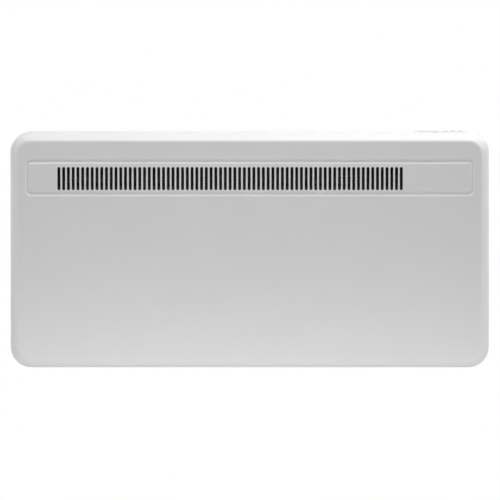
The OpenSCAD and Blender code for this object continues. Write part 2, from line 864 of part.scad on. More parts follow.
// Frame let into the top of the case, with its snap teeth, lens seat, button holes and board posts
module control_bezel() {
  tooth_w = 10;
  catch_z = top_z - sheet - set_gap;
  color(white)
    difference() {
      union() {
        translate([pod_x, pod_y, top_z]) linear_extrude(pod_proud) rounded_rect(pod_w, pod_d, pod_r);
        translate([pod_x, pod_y, pod_foot_z])
          linear_extrude(top_z - pod_foot_z) rounded_rect(pod_body_w, pod_body_d, pod_hole_r);
        for (sx = [-1, 1], sy = [-1, 1])
          translate([pod_x + sx * pod_body_w * 0.3 - tooth_w / 2, pod_y + sy * pod_body_d / 2, catch_z])
            rotate([90, 0, 90])
              linear_extrude(tooth_w)
                polygon([[-sy, 0], [sy * (set_gap + 1), 0], [0, -5], [-sy, -5]]);
      }
      difference() {
        translate([pod_x, pod_y, pod_foot_z - 1])
          linear_extrude(pod_deck_z - pod_foot_z + 1)
            rounded_rect(pod_body_w - 2 * pod_wall, pod_body_d - 2 * pod_wall, pod_hole_r - 1);
        for (p = post_places)
          translate([p[0], p[1], display_board_z])
            difference() {
              cylinder(r = 2.6, h = 20, $fn = 24);
              translate([0, 0, -1]) cylinder(r = post_bore_r, h = 7, $fn = 24);
            }
      }
      translate([lens_x, pod_y, pod_top - lens_t])
        linear_extrude(lens_t + 1) rounded_rect(lens_w + 2 * set_gap, lens_d + 2 * set_gap, 2 + set_gap);
      translate([lens_x, pod_y, pod_deck_z - 1])
        linear_extrude(pod_top) rounded_rect(lens_w - 4, lens_d - 4, 1.5);
      for (p = button_places)
        translate([p[0], p[1], pod_deck_z - 1]) cylinder(r = button_r + move_gap, h = 5);
    }
}

post_bore_r = 1;
post_places = [
  for (sx = [-1, 1], sy = [-1, 1])
    [pod_x + sx * (pod_body_w / 2 - pod_wall - 3), pod_y + sy * (pod_body_d / 2 - pod_wall - 3)]
];

module display_lens() {
  color(smoke)
    translate([lens_x, pod_y, pod_top - lens_t])
      linear_extrude(lens_t) rounded_rect(lens_w, lens_d, 2);
}

module display_panel() {
  color(pale_grey)
    translate([lens_x - (lens_w - 6) / 2, pod_y - (lens_d - 6) / 2, display_board_z])
      cube([lens_w - 6, lens_d - 6, pod_deck_z - display_board_z - 0.6]);
}

module display_board() {
  w = pod_body_w - 2 * pod_wall - 2;
  d = pod_body_d - 2 * pod_wall - 2;
  color(board_green)
    difference() {
      translate([pod_x - w / 2, pod_y - d / 2, display_board_z - board_t]) cube([w, d, board_t]);
      for (p = post_places)
        translate([p[0], p[1], display_board_z - board_t - 1])
          cylinder(r = 1.4, h = board_t + 2, $fn = 32);
    }
}

// Small screws that hold the display board to the posts of the control panel
module board_screws() {
  shank_r = post_bore_r - fit_play;
  head = [2.2, 1.3];
  foot = display_board_z - board_t;
  color(bright_metal)
    for (p = post_places)
      translate([p[0], p[1], foot])
        difference() {
          rotate_extrude($fn = 32)
            polygon([[0, -head[1]], [head[0] - 0.5, -head[1]], [head[0], 0.5 - head[1]], [head[0], 0],
              [shank_r, 0], [shank_r, board_t + 4.4], [shank_r - 0.4, board_t + 5], [0, board_t + 5]]);
          translate([-1.5, -0.25, -head[1] - 1]) cube([3, 0.5, 1.6]);
        }
}

// One push switch under each button
module tact_switches() {
  color(zinc)
    for (p = button_places) {
      translate([p[0] - 3, p[1] - 3, display_board_z]) cube([6, 6, 3.4]);
      translate([p[0], p[1], display_board_z])
        cylinder(r = 1.7, h = switch_top - display_board_z, $fn = 24);
    }
}

// A button: dished cap, collar under the deck and stem over its switch
module button(place) {
  cap = pod_top + button_proud;
  collar = pod_deck_z - move_gap;
  foot = switch_top + button_travel + 0.2;
  color(white)
    translate([place[0], place[1], 0])
      rotate_extrude()
        polygon(concat(
          [[0, foot], [2, foot], [2, collar - 1.2], [button_r + 0.9, collar - 1.2],
            [button_r + 0.9, collar], [button_r, collar]],
          arc(button_r - 0.6, cap - 0.6, 0.6, 0, 90, 4),
          [[button_r * 0.6, cap - 0.25], [0, cap - 0.4]]
        ));
}

module button_standby() {
  button(button_places[0]);
}

module button_menu() {
  button(button_places[1]);
}

module button_enter() {
  button(button_places[2]);
}

module button_down() {
  button(button_places[3]);
}

module button_up() {
  button(button_places[4]);
}

// Flat cable from the display board to the power board
module ribbon_cable() {
  knee = (ribbon_top + ribbon_foot) / 2;
  start_y = pod_y - ribbon_t / 2;
  end_y = ribbon_foot_y - ribbon_t / 2;
  half = ribbon_slant / 2;
  path = [[start_y, ribbon_top], [start_y, knee + half], [end_y, knee - half], [end_y, ribbon_foot]];
  color(pale_grey)
    side_view(ribbon_x - ribbon_w / 2, ribbon_x + ribbon_w / 2)
      polygon(folded(path, ribbon_t));
}

// Sockets of the flat cable on both boards, each with a keying rib on its outer side
module cable_sockets() {
  rib = [4, 1.2];
  upper = [ribbon_w + 2, 6, plug_h];
  lower = [ribbon_w + 4, 12, 14];
  color(ceramic_white) {
    translate([ribbon_x - upper[0] / 2, pod_y - upper[1] / 2, ribbon_top]) cube(upper);
    translate([ribbon_x - rib[0] / 2, pod_y - upper[1] / 2 - rib[1], ribbon_top])
      cube([rib[0], rib[1] + 1, plug_h]);
    translate([ribbon_x - lower[0] / 2, power_face - lower[1], ribbon_foot - lower[2]]) cube(lower);
    translate([ribbon_x - rib[0] / 2, power_face - lower[1] - rib[1], ribbon_foot - lower[2]])
      cube([rib[0], rib[1] + 1, lower[2] - 2]);
  }
}

peg_r = 2;
spacer_places = [
  for (sx = [-1, 1], sz = [-1, 1]) [power_x + sx * (power_w / 2 - 5), power_z + sz * (power_h / 2 - 5)]
];

module power_board() {
  color(board_green)
    difference() {
      translate([power_x - power_w / 2, power_face, power_z - power_h / 2])
        cube([power_w, board_t, power_h]);
      for (p = spacer_places)
        y_cylinder(p[0], power_face - 1, power_y + 1, p[1], peg_r + fit_play);
    }
}

// Each capacitor's place from the middle of the power board, its radius and its length
capacitor_sizes = [[22, -4, 6, 20], [22, 13, 4, 14], [8, -8, 4, 12], [8, 4, 4, 12]];

// Electrolytic capacitor on the power board, with the rolled neck of its can
module capacitor(x, z, r, length) {
  translate([x, power_face, z])
    rotate([90, 0, 0])
      rotate_extrude($fn = 32)
        polygon([[0, 0], [r - 0.4, 0], [r, 0.4], [r, 1.6], [r - 0.5, 2.1], [r, 2.6], [r, length - 0.6],
          [r - 0.6, length], [r - 1.2, length], [r - 1.2, length - 0.3], [0, length - 0.3]]);
}

module capacitors() {
  color(smoke)
    for (c = capacitor_sizes) capacitor(power_x + c[0], power_z + c[1], c[2], c[3]);
}

// Spacers between the board and the back panel, each with a peg through the board
module board_spacers() {
  color(ceramic_white)
    for (p = spacer_places) {
      y_cylinder(p[0], power_y, inner_y, p[1], 4);
      y_cylinder(p[0], power_face - 1.5, power_y, p[1], peg_r);
    }
}

// Relay: a cover with bevelled edges on a slightly wider base
module relay() {
  base_t = 3;
  bevel = 1.2;
  color(dark_plastic)
    translate([relay_x, power_face, relay_z]) {
      side_view(-relay_size[0] / 2 + 0.6, relay_size[0] / 2 - 0.6)
        polygon(bevelled(relay_size[1], relay_size[2] / 2 - 0.6, bevel));
      translate([-relay_size[0] / 2, -base_t, -relay_size[2] / 2])
        cube([relay_size[0], base_t, relay_size[2]]);
    }
}

// Outline of a cover that stands on the power board, with its two far corners bevelled
function bevelled(height, half, bevel) = [
  [0, -half], [0, half], [-height + bevel, half], [-height, half - bevel], [-height, bevel - half],
  [-height + bevel, -half]
];

// Holder of the mains fuse: a base, a bevelled cover and two grip ribs
module fuse_holder() {
  size = [9, 11, 26];
  rib_z = 6;
  color(dark_plastic)
    translate([power_x - power_w / 2 + 12, power_face, power_z]) {
      side_view(-size[0] / 2, size[0] / 2) polygon(bevelled(size[1], size[2] / 2, 2));
      translate([-size[0] / 2 - 1, -3, -size[2] / 2 - 1]) cube([size[0] + 2, 3, size[2] + 2]);
      for (s = [-1, 1])
        translate([-size[0] / 2 - 0.7, -size[1] + 1, s * rib_z - 1]) cube([size[0] + 1.4, size[1] - 2, 2]);
    }
}

module transformer() {
  w = 30;
  d = 24;
  h = 26;
  z = power_z + 40;
  x = power_x + 20;
  color(zinc) {
    translate([x - w / 2, power_face - d, z - h / 2 + 4]) cube([w, d, h - 8]);
    translate([x - w / 2 + 4, power_face - d + 2, z - h / 2]) cube([w - 8, d - 4, h]);
  }
}

// Three-way terminal block beside the cable inlet
module terminal_block() {
  w = terminal_size[0];
  d = terminal_size[1];
  h = terminal_size[2];
  way = w / 3;
  color(ceramic_white)
    translate([pod_x - w / 2, inner_y - d, terminal_z - h / 2])
      difference() {
        cube([w, d, h]);
        for (i = [0 : 2]) {
          translate([(i + 0.5) * way, d * 0.45, -1]) cylinder(r = 2.6, h = h * 0.4, $fn = 24);
          translate([(i + 0.5) * way, 4, h * 0.6]) rotate([90, 0, 0]) cylinder(r = 2.8, h = 5, $fn = 24);
        }
        for (i = [1, 2])
          translate([i * way - 0.6, -1, -1]) cube([1.2, 5, h + 2]);
      }
}

earth_z = cable_z + 42;
earth_nut = 3.2;
earth_washer_r = 5;
earth_washer_y = inner_y - earth_nut - 1;

// Stud with a nut, a washer and a second nut
module earth_stud() {
  color(bright_metal) {
    y_cylinder(cable_x, inner_y - 14, inner_y, earth_z, 2);
    y_cylinder(cable_x, earth_washer_y, inner_y - earth_nut, earth_z, earth_washer_r);
    for (y = [inner_y, earth_washer_y])
      translate([cable_x, y, earth_z]) rotate([90, 0, 0]) cylinder(r = 4.6, h = earth_nut, $fn = 6);
  }
}

// Cable inlet through the back panel: domed mouth, hexagon, threaded shank and bore
module cable_gland() {
  color(dark_plastic)
    translate([cable_x, back_y, cable_z])
      rotate([-90, 0, 0])
        difference() {
          union() {
            cylinder(r = gland_flat / 2 / cos(30), h = 4, $fn = 6);
            rotate_extrude()
              polygon(concat(
                [[0, -13], [gland_shank_r - 0.8, -13], [gland_shank_r, -12], [gland_shank_r, 0],
                  [9, 0], [9, 4]],
                arc(gland_r_mid, 4, 9 - gland_r_mid, 0, 90, 6),
                [[0, 4 + 9 - gland_r_mid]]
              ));
          }
          translate([0, 0, -14]) cylinder(r = cable_r, h = gland_out + 20);
        }
}

gland_r_mid = 4;

module gland_nut() {
  color(dark_plastic)
    translate([cable_x, inner_y, cable_z])
      rotate([90, 0, 0])
        difference() {
          cylinder(r = gland_flat / 2 / cos(30), h = 5, $fn = 6);
          translate([0, 0, -1]) cylinder(r = gland_shank_r + fit_play, h = 7);
        }
}

// Side view of a lug about the hinge axis, with the heel that meets the arm at the greatest tilt
module lug_outline() {
  root = back_y - pivot_y;
  out = [cos(tilt_max), -sin(tilt_max)];
  down = [-sin(tilt_max), -cos(tilt_max)];
  heel = heel_reach * out;
  translate([pivot_y, pivot_z]) {
    difference() {
      union() {
        circle(lug_r);
        polygon([[root, lug_r + 3], [root + 4, lug_r + 3], [0, lug_r], heel * 0.6, heel + 3 * down,
          heel + heel_len * down, [root, (heel + heel_len * down)[1]]]);
      }
      circle(seat_r);
    }
  }
}

// Lugs on the back panel, one on each side of each arm
module pivot_lugs() {
  color(zinc)
    for (arm = [-1, 1], s = [-1, 1]) {
      x = arm * arm_span / 2 + s * lug_x;
      side_view(min(x, x + s * lug_t), max(x, x + s * lug_t)) lug_outline();
      translate([s > 0 ? x : x - lug_foot_w, back_y, pivot_z - 12]) cube([lug_foot_w, lug_t, lug_r + 15]);
    }
}

module pivot_pins() {
  half = lug_x + lug_t + 4;
  neck = lug_x + lug_t + 0.2;
  color(bright_metal)
    for (arm = [-1, 1])
      translate([arm * arm_span / 2, pivot_y, pivot_z])
        rotate([0, 90, 0])
          rotate_extrude()
            polygon([[0, -half], [pin_r - 0.6, -half], [pin_r, -half + 0.6], [pin_r, -neck - clip_groove],
              [pin_r - 0.8, -neck - clip_groove], [pin_r - 0.8, -neck], [pin_r, -neck], [pin_r, neck],
              [pin_r - 0.8, neck], [pin_r - 0.8, neck + clip_groove], [pin_r, neck + clip_groove],
              [pin_r, half - 0.6], [pin_r - 0.6, half], [0, half]]);
}

// Spring clips that hold each pin between its lugs
module pin_clips() {
  neck = lug_x + lug_t + 0.2;
  color(zinc)
    for (arm = [-1, 1], s = [-1, 1])
      translate([arm * arm_span / 2 + s * (neck + clip_groove / 2), pivot_y, pivot_z])
        rotate([0, 90, 0])
          difference() {
            cylinder(r = pin_r + 1.4, h = clip_groove - 0.1, center = true);
            cylinder(r = pin_r - 0.8 + fit_play, h = 2, center = true);
            translate([-pin_r + 1.6, 0, -1]) cube([2 * (pin_r - 1.6), 10, 2]);
          }
}

// Blank data plate riveted to the back panel
module data_plate() {
  size = [76, 36, 0.5];
  place = [110, bead_rows[2] / 2];
  color(bright_metal)
    translate([place[0], back_y, place[1]])
      rotate([90, 0, 180]) {
        linear_extrude(size[2]) rounded_rect(size[0], size[1], 3);
        for (sx = [-1, 1])
          translate([sx * (size[0] / 2 - 5), 0, 0])
            rotate_extrude($fn = 32)
              polygon([[0, 0], [2.2, 0], [2.2, size[2] + 0.3], [1.4, size[2] + 0.9], [0, size[2] + 1.1]]);
      }
}

// Tongues on the back panel that the latch clips hold
module latch_tongues() {
  color(zinc)
    for (arm = [-1, 1]) {
      x = arm * arm_span / 2;
      translate([x - tongue_w / 2, back_y, latch_z - tongue_t / 2])
        cube([tongue_w, tongue_tip - back_y, tongue_t]);
      translate([x - tongue_w / 2, back_y, latch_z]) cube([tongue_w, tongue_t, 14]);
    }
}

// Top view of an arm: two flanges on the wall side, two cheeks and the web in front
module arm_section() {
  half = arm_w / 2;
  t = bracket_t;
  edge = half + flange_w;
  polygon([
    [-edge, flange_y], [-edge, flange_face], [-half, flange_face], [-half, arm_face], [half, arm_face],
    [half, flange_face], [edge, flange_face], [edge, flange_y], [half - t, flange_y],
    [half - t, arm_face + t], [-half + t, arm_face + t], [-half + t, flange_y]
  ]);
}

// Folded arm with a hook for the hinge pin at its foot and a window for the latch near its top
module bracket_arm(side) {
  color(white)
    translate([side * arm_span / 2, 0, 0])
      difference() {
        translate([0, 0, flange_foot]) linear_extrude(arm_top - flange_foot) arm_section();
        translate([-arm_w / 2 - 0.01, arm_face - 1, flange_foot - 1])
          cube([arm_w + 0.02, flange_face - arm_face + 1, arm_foot - flange_foot + 1]);
        x_cylinder(-arm_w, arm_w, pivot_y, pivot_z, seat_r);
        translate([-arm_w, pivot_y - seat_r, pivot_z]) cube([2 * arm_w, 2 * seat_r, hook_mouth + hook_lip]);
        translate([-arm_w, arm_face - 1, pivot_z + hook_lip])
          cube([2 * arm_w, pivot_y - arm_face + 1, hook_mouth]);
        translate([-latch_w / 2 - 1, arm_face - 1, latch_z - window_h / 2])
          cube([latch_w + 2, 4, window_h]);
        for (s = [-1, 1])
          y_cylinder(0, arm_face - 1, arm_face + 3, latch_z + s * rivet_z, rivet_r + fit_play);
      }
}

module bracket_arm_left() {
  bracket_arm(-1);
}

module bracket_arm_right() {
  bracket_arm(1);
}

// Rail on the wall with its lips, screw holes and long holes for marking out
module bracket_rail(z) {
  lip_w = arm_span - arm_w - 2 * flange_w - 8;
  lip = 6;
  color(white)
    difference() {
      union() {
        translate([-rail_len / 2, -bracket_t, z - rail_h / 2]) cube([rail_len, bracket_t, rail_h]);
        for (s = [-1, 1])
          translate([-lip_w / 2, -lip, z + s * (rail_h - bracket_t) / 2 - bracket_t / 2])
            cube([lip_w, lip, bracket_t]);
      }
      for (s = [-1, 1]) {
        y_cylinder(s * screw_span / 2, -bracket_t - 1, 1, z, screw_hole_d / 2);
        front_view(-bracket_t - 1)
          linear_extrude(bracket_t + 2)
            translate([s * screw_span / 4, z]) rotate(90) slot_shape(screw_hole_d, 40);
      }
    }
}

module bracket_rail_upper() {
  bracket_rail(screw_rise / 2);
}

module bracket_rail_lower() {
  bracket_rail(-screw_rise / 2);
}

// Spring clip in the arm's window: two leaves over and under the tongue, and a foot above and below
module latch_clips() {
  leaf = tongue_t / 2 + leaf_gap + leaf_t;
  far = tongue_tip + 4;
  foot = window_h / 2 + clip_foot;
  mouth = window_h / 2 - 0.2;
  path = [[arm_face, latch_z + foot], [arm_face, latch_z + mouth], [arm_face + 3, latch_z + leaf],
    [far, latch_z + leaf], [far, latch_z - leaf], [arm_face + 3, latch_z - leaf],
    [arm_face, latch_z - mouth], [arm_face, latch_z - foot]];
  color(bright_metal)
    for (arm = [-1, 1])
      difference() {
        side_view(arm * arm_span / 2 - latch_w / 2, arm * arm_span / 2 + latch_w / 2)
          polygon(folded(path, -leaf_t));
        for (s = [-1, 1])
          y_cylinder(arm * arm_span / 2, arm_face - 3, arm_face + 1, latch_z + s * rivet_z,
            rivet_r + fit_play);
      }
}

module clip_rivets() {
  color(zinc)
    for (arm = [-1, 1], s = [-1, 1])
      translate([arm * arm_span / 2, arm_face, latch_z + s * rivet_z])
        rotate([-90, 0, 0])
          rotate_extrude($fn = 24)
            polygon([[0, -leaf_t - 1.2], [1.8, -leaf_t - 1.1], [2.8, -leaf_t], [rivet_r, -leaf_t],
              [rivet_r, bracket_t], [2.4, bracket_t], [1.6, bracket_t + 1.2], [0, bracket_t + 1.2]]);
}

// Rubber pads on the arms that the back panel lies against
module bumper_pads() {
  color(rubber_black)
    for (arm = [-1, 1])
      translate([arm * arm_span / 2, arm_face, bumper_z])
        rotate([90, 0, 0])
          rotate_extrude()
            polygon([[0, 0], [9, 0], [8, wall_gap - arm_d - move_gap], [0, wall_gap - arm_d - move_gap]]);
}

front_panel();
back_panel();
case_screws();
air_guide();
outlet_guard();
outlet_sill();
duct_end_left();
duct_end_right();
heat_shield();
element_body();
element_rod();
element_bracket_left();
element_bracket_right();
ceramic_bushes();
element_leads();
lead_grommets();
thermal_cutout();
cutout_bracket();
cutout_leads();
room_sensor();
sensor_clip();
sensor_lead();
control_bezel();
display_lens();
display_panel();
display_board();
board_screws();
tact_switches();
button_standby();
button_menu();
button_enter();
button_down();
button_up();
ribbon_cable();
cable_sockets();
power_board();
board_spacers();
relay();
fuse_holder();
transformer();
capacitors();
terminal_block();
supply_leads();
earth_stud();
earth_lead();
cable_gland();
gland_nut();
pivot_lugs();
pivot_pins();
pin_clips();
data_plate();
latch_tongues();
bracket_arm_left();
bracket_arm_right();
bracket_rail_upper();
bracket_rail_lower();
latch_clips();
clip_rivets();
bumper_pads();
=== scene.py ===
"""Dresses the panel heater: its finishes, key marks, display, board parts, stage, lamps and camera."""

import math

import bmesh
import bpy
from bpy.props import FloatProperty, FloatVectorProperty, PointerProperty, StringProperty
from mathutils import Matrix, Vector


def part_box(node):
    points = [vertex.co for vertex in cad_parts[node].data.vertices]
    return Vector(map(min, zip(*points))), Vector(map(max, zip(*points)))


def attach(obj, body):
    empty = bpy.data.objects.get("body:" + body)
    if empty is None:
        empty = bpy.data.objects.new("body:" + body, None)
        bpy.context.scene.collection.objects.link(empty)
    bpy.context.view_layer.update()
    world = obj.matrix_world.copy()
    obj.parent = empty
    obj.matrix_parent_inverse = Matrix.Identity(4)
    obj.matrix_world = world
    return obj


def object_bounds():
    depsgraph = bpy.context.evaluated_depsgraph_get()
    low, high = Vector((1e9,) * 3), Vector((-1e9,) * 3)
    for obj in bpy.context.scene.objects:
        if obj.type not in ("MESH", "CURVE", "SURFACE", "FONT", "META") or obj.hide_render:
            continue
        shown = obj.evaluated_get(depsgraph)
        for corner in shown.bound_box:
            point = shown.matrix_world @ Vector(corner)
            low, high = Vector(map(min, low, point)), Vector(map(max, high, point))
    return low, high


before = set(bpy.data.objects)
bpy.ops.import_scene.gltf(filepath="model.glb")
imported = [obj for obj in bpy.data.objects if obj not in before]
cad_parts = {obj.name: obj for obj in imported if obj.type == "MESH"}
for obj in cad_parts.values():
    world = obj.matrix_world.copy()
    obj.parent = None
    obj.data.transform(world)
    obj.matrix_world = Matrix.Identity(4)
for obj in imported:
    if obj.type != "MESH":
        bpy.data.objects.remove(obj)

bl_info = {
    "name": "Panel heater",
    "version": (1, 0, 0),
    "blender": (4, 5, 0),
    "location": "View3D > Sidebar > Heater",
    "description": "Finishes, marks, display, stage and camera of a wall-hung panel heater",
    "category": "Object",
}

MM = 0.001
CAD_LOW, CAD_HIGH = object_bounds()
KEYS = ("standby", "menu", "enter", "down", "up")


def colour_property(name, description, rgb):
    """A colour that a user can change."""
    return FloatVectorProperty(
        name=name, description=description, subtype="COLOR", size=3, min=0, max=1, default=rgb
    )


def ratio_property(name, description, value, top=1.0):
    """A plain number from 0 to top that a user can change."""
    return FloatProperty(name=name, description=description, default=value, min=0, max=top)


def power_property(name, description, watts):
    """The power of a lamp that a user can change."""
    return FloatProperty(name=name, description=description, default=watts, min=0)


def length_property(name, description, metres):
    """A length that a user can change."""
    return FloatProperty(
        name=name, description=description, subtype="DISTANCE", unit="LENGTH", default=metres, min=0
    )


class HeaterCoat(bpy.types.PropertyGroup):
    """Sizes and colours of the heater's finishes."""

    coat_colour: colour_property("Powder coat", "Colour of the case and bracket", (0.765, 0.768, 0.765))
    coat_roughness: ratio_property("Coat roughness", "Roughness of the powder coat", 0.46)
    peel_size: length_property("Orange peel", "Width of one dimple of the powder coat", 1.1 * MM)
    zinc_colour: colour_property("Zinc", "Colour of the zinc-coated sheet", (0.46, 0.48, 0.49))
    aluminium_colour: colour_property("Aluminium", "Colour of the extruded element", (0.66, 0.66, 0.67))
    steel_colour: colour_property("Steel", "Colour of screws, pins and clips", (0.56, 0.57, 0.58))
    enamel_colour: colour_property("Enamel", "Colour of the outlet guard", (0.035, 0.035, 0.037))
    bezel_colour: colour_property("Bezel", "Colour of the control panel's frame", (0.74, 0.742, 0.74))
    plastic_colour: colour_property("Dark plastic", "Colour of the gland and relay", (0.045, 0.047, 0.052))
    key_colour: colour_property("Keys", "Colour of the keys", (0.70, 0.70, 0.69))


class HeaterMarks(bpy.types.PropertyGroup):
    """Sizes and colours of the key marks and of the display."""

    mark_colour: colour_property("Mark", "Colour printed on the keys", (0.05, 0.055, 0.06))
    mark_width: length_property("Line width", "Width of a printed line", 0.42 * MM)
    mark_height: length_property("Print height", "Height of the print above the key", 0.05 * MM)
    readout: StringProperty(name="Readout", description="Figures that the display shows", default="21.5")
    digit_height: length_property("Figure height", "Height of one figure of the display", 8.5 * MM)
    digit_colour: colour_property("Figures", "Colour of the lit figures", (0.82, 0.92, 0.95))


class HeaterStage(bpy.types.PropertyGroup):
    """Floor, lamps and camera around the heater."""

    floor_drop: length_property("Floor", "Distance from the heater down to the floor", 0.42)
    floor_colour: colour_property("Floor colour", "Colour of the floor", (0.30, 0.30, 0.30))
    shadow_reach: length_property("Shadow reach", "How far from the heater the floor shows its shadow", 1.1)
    sky_level: ratio_property("Surrounding light", "Strength of the even light all round", 0.08, 4.0)
    overhead_power: power_property("Overhead lamp", "Power of the wide lamp over the heater", 32.8)
    strip_power: power_property("Strip lamp", "Power of the strip lamp close over the face", 1.83)
    left_power: power_property("Left lamp", "Power of the lamp at the left", 15.9)
    right_power: power_property("Right lamp", "Power of the lamp at the right", 18.65)
    low_power: power_property("Low lamp", "Power of the strip lamp low and close in front", 2.84)
    front_power: power_property("Front lamp", "Power of the lamp low and further in front", 0.24)
    back_power: power_property("Back lamp", "Power of the lamp behind, level with the heater", 22.0)
    camera_distance: length_property("Camera distance", "From the face to the camera", 12.0)
    camera_rise: FloatProperty(
        name="Camera rise", description="Angle of the camera above level", subtype="ANGLE",
        default=math.radians(3.8),
    )
    view_width: length_property("View width", "Width of the picture at the heater's face", 0.9155)


def settings(name):
    """One of the three groups of settings, kept on the scene."""
    return getattr(bpy.context.scene, name)


# Materials

def new_material(name):
    """An empty material with its shader."""
    material = bpy.data.materials.new(name)
    material.use_nodes = True
    return material, material.node_tree, material.node_tree.nodes["Principled BSDF"]


def grain(tree, scale, detail=3.0, stretch=(1, 1, 1), kind="ShaderNodeTexNoise"):
    """Height of a pattern that is fixed to the object, with scale in repeats per metre."""
    place = tree.nodes.new("ShaderNodeTexCoord")
    mapping = tree.nodes.new("ShaderNodeMapping")
    pattern = tree.nodes.new(kind)
    mapping.inputs["Scale"].default_value = stretch
    pattern.inputs["Scale"].default_value = scale
    if kind == "ShaderNodeTexNoise":
        pattern.inputs["Detail"].default_value = detail
    tree.links.new(place.outputs["Object"], mapping.inputs["Vector"])
    tree.links.new(mapping.outputs["Vector"], pattern.inputs["Vector"])
    return pattern.outputs["Fac" if kind == "ShaderNodeTexNoise" else "Color"]


def spread(tree, height, low, high):
    """Turns a height from 0 to 1 into a value between low and high."""
    reach = tree.nodes.new("ShaderNodeMapRange")
    reach.inputs["To Min"].default_value = low
    reach.inputs["To Max"].default_value = high
    tree.links.new(height, reach.inputs["Value"])
    return reach.outputs["Result"]


def tint(tree, height, first, second):
    """Turns a height from 0 to 1 into a colour between two colours."""
    ramp = tree.nodes.new("ShaderNodeValToRGB")
    ramp.color_ramp.elements[0].position = 0.3
    ramp.color_ramp.elements[1].position = 0.7
    ramp.color_ramp.elements[0].color = (*first, 1)
    ramp.color_ramp.elements[1].color = (*second, 1)
    tree.links.new(height, ramp.inputs["Fac"])
    return ramp.outputs["Color"]


def relief(tree, shader, height, depth):
    """Raises the surface by a height pattern, depth metres high."""
    bump = tree.nodes.new("ShaderNodeBump")
    bump.inputs["Distance"].default_value = depth
    tree.links.new(height, bump.inputs["Height"])
    tree.links.new(bump.outputs["Normal"], shader.inputs["Normal"])


def shade(colour, factor):
    """A colour made darker or lighter by a factor."""
    return tuple(min(1.0, c * factor) for c in colour)


def paint(tree, shader, height, first, second):
    """Colours the surface between two colours, by a height pattern."""
    tree.links.new(tint(tree, height, first, second), shader.inputs["Base Color"])


def vary_colour(tree, shader, height, colour, low, high):
    """Varies a colour with a height pattern, from low to high times itself."""
    paint(tree, shader, height, shade(colour, low), shade(colour, high))


def vary_gloss(tree, shader, height, low, high):
    """Varies the roughness with a height pattern, between low and high."""
    tree.links.new(spread(tree, height, low, high), shader.inputs["Roughness"])


def powder_coat():
    """White powder coat: satin, very slightly clouded, with a fine orange peel."""
    coat = settings("heater_coat")
    material, tree, shader = new_material("powder_coat")
    roughness = coat.coat_roughness
    vary_colour(tree, shader, grain(tree, 14, detail=2), tuple(coat.coat_colour), 0.99, 1.008)
    vary_gloss(tree, shader, grain(tree, 160, detail=2), roughness - 0.03, roughness + 0.03)
    relief(tree, shader, grain(tree, 1 / coat.peel_size, detail=1), 0.010 * MM)
    return material


def zinc_sheet(name="zinc_sheet", colour=None, roughness=0.42):
    """Zinc-coated sheet: dull metal whose flat crystals differ a little in brightness and gloss."""
    colour = tuple(colour or settings("heater_coat").zinc_colour)
    material, tree, shader = new_material(name)
    crystal = grain(tree, 240, kind="ShaderNodeTexVoronoi")
    vary_colour(tree, shader, crystal, colour, 0.93, 1.06)
    vary_gloss(tree, shader, crystal, roughness - 0.05, roughness + 0.07)
    relief(tree, shader, grain(tree, 500, detail=2), 0.006 * MM)
    shader.inputs["Metallic"].default_value = 0.92
    return material


def drawn_metal(name, colour, roughness, stretch):
    """Metal with fine lines along one direction, from drawing, rolling or turning."""
    material, tree, shader = new_material(name)
    lines = grain(tree, 1000, detail=3, stretch=stretch)
    vary_colour(tree, shader, lines, colour, 0.9, 1.06)
    vary_gloss(tree, shader, lines, roughness - 0.06, roughness + 0.1)
    relief(tree, shader, lines, 0.004 * MM)
    shader.inputs["Metallic"].default_value = 1.0
    return material


def moulded(name, colour, roughness=0.5, texture=0.012 * MM, grain_scale=2200):
    """Moulded plastic or rubber with a fine spark-eroded grain."""
    material, tree, shader = new_material(name)
    vary_colour(tree, shader, grain(tree, 40, detail=2), colour, 0.94, 1.05)
    vary_gloss(tree, shader, grain(tree, 300, detail=2), roughness - 0.05, roughness + 0.06)
    relief(tree, shader, grain(tree, grain_scale, detail=2), texture)
    return material


def smoked_lens():
    """Smoked lens that lets the lit figures through."""
    material, tree, shader = new_material("smoked_lens")
    haze = grain(tree, 90, detail=2)
    paint(tree, shader, haze, (0.10, 0.105, 0.115), (0.12, 0.125, 0.135))
    vary_gloss(tree, shader, haze, 0.04, 0.07)
    shader.inputs["Transmission Weight"].default_value = 0.9
    shader.inputs["IOR"].default_value = 1.49
    return material


def circuit_board(name="circuit_board", strength=1.0):
    """Green solder resist, a little uneven in thickness, and lighter over copper."""
    material, tree, shader = new_material(name)
    film = grain(tree, 120, detail=3)
    thin, thick = (shade(c, strength) for c in ((0.014, 0.105, 0.050), (0.010, 0.085, 0.040)))
    paint(tree, shader, film, thick, thin)
    relief(tree, shader, grain(tree, 900, detail=2), 0.01 * MM)
    shader.inputs["Roughness"].default_value = 0.30
    return material


# What a wave texture multiplies a place by, along an axis and on the diagonal
WAVE_TURNS = {"X": 20, "DIAGONAL": 10}


def striped_sleeve(name, first, second, pitch, direction="DIAGONAL"):
    """Sleeve with a second colour in bands, which wind round a wire or run along a flat cable."""
    material, tree, shader = new_material(name)
    bands = tree.nodes.new("ShaderNodeTexWave")
    place = tree.nodes.new("ShaderNodeTexCoord")
    bands.inputs["Scale"].default_value = 2 * math.pi / (WAVE_TURNS[direction] * pitch)
    bands.bands_direction = direction
    tree.links.new(place.outputs["Object"], bands.inputs["Vector"])
    paint(tree, shader, bands.outputs["Fac"], first, second)
    shader.inputs["Roughness"].default_value = 0.5
    return material


def ceramic():
    """Unglazed steatite: off-white, dry and slightly speckled."""
    material, tree, shader = new_material("ceramic")
    speck = grain(tree, 700, detail=4)
    paint(tree, shader, speck, (0.60, 0.55, 0.44), (0.72, 0.68, 0.58))
    relief(tree, shader, speck, 0.02 * MM)
    shader.inputs["Roughness"].default_value = 0.72
    return material


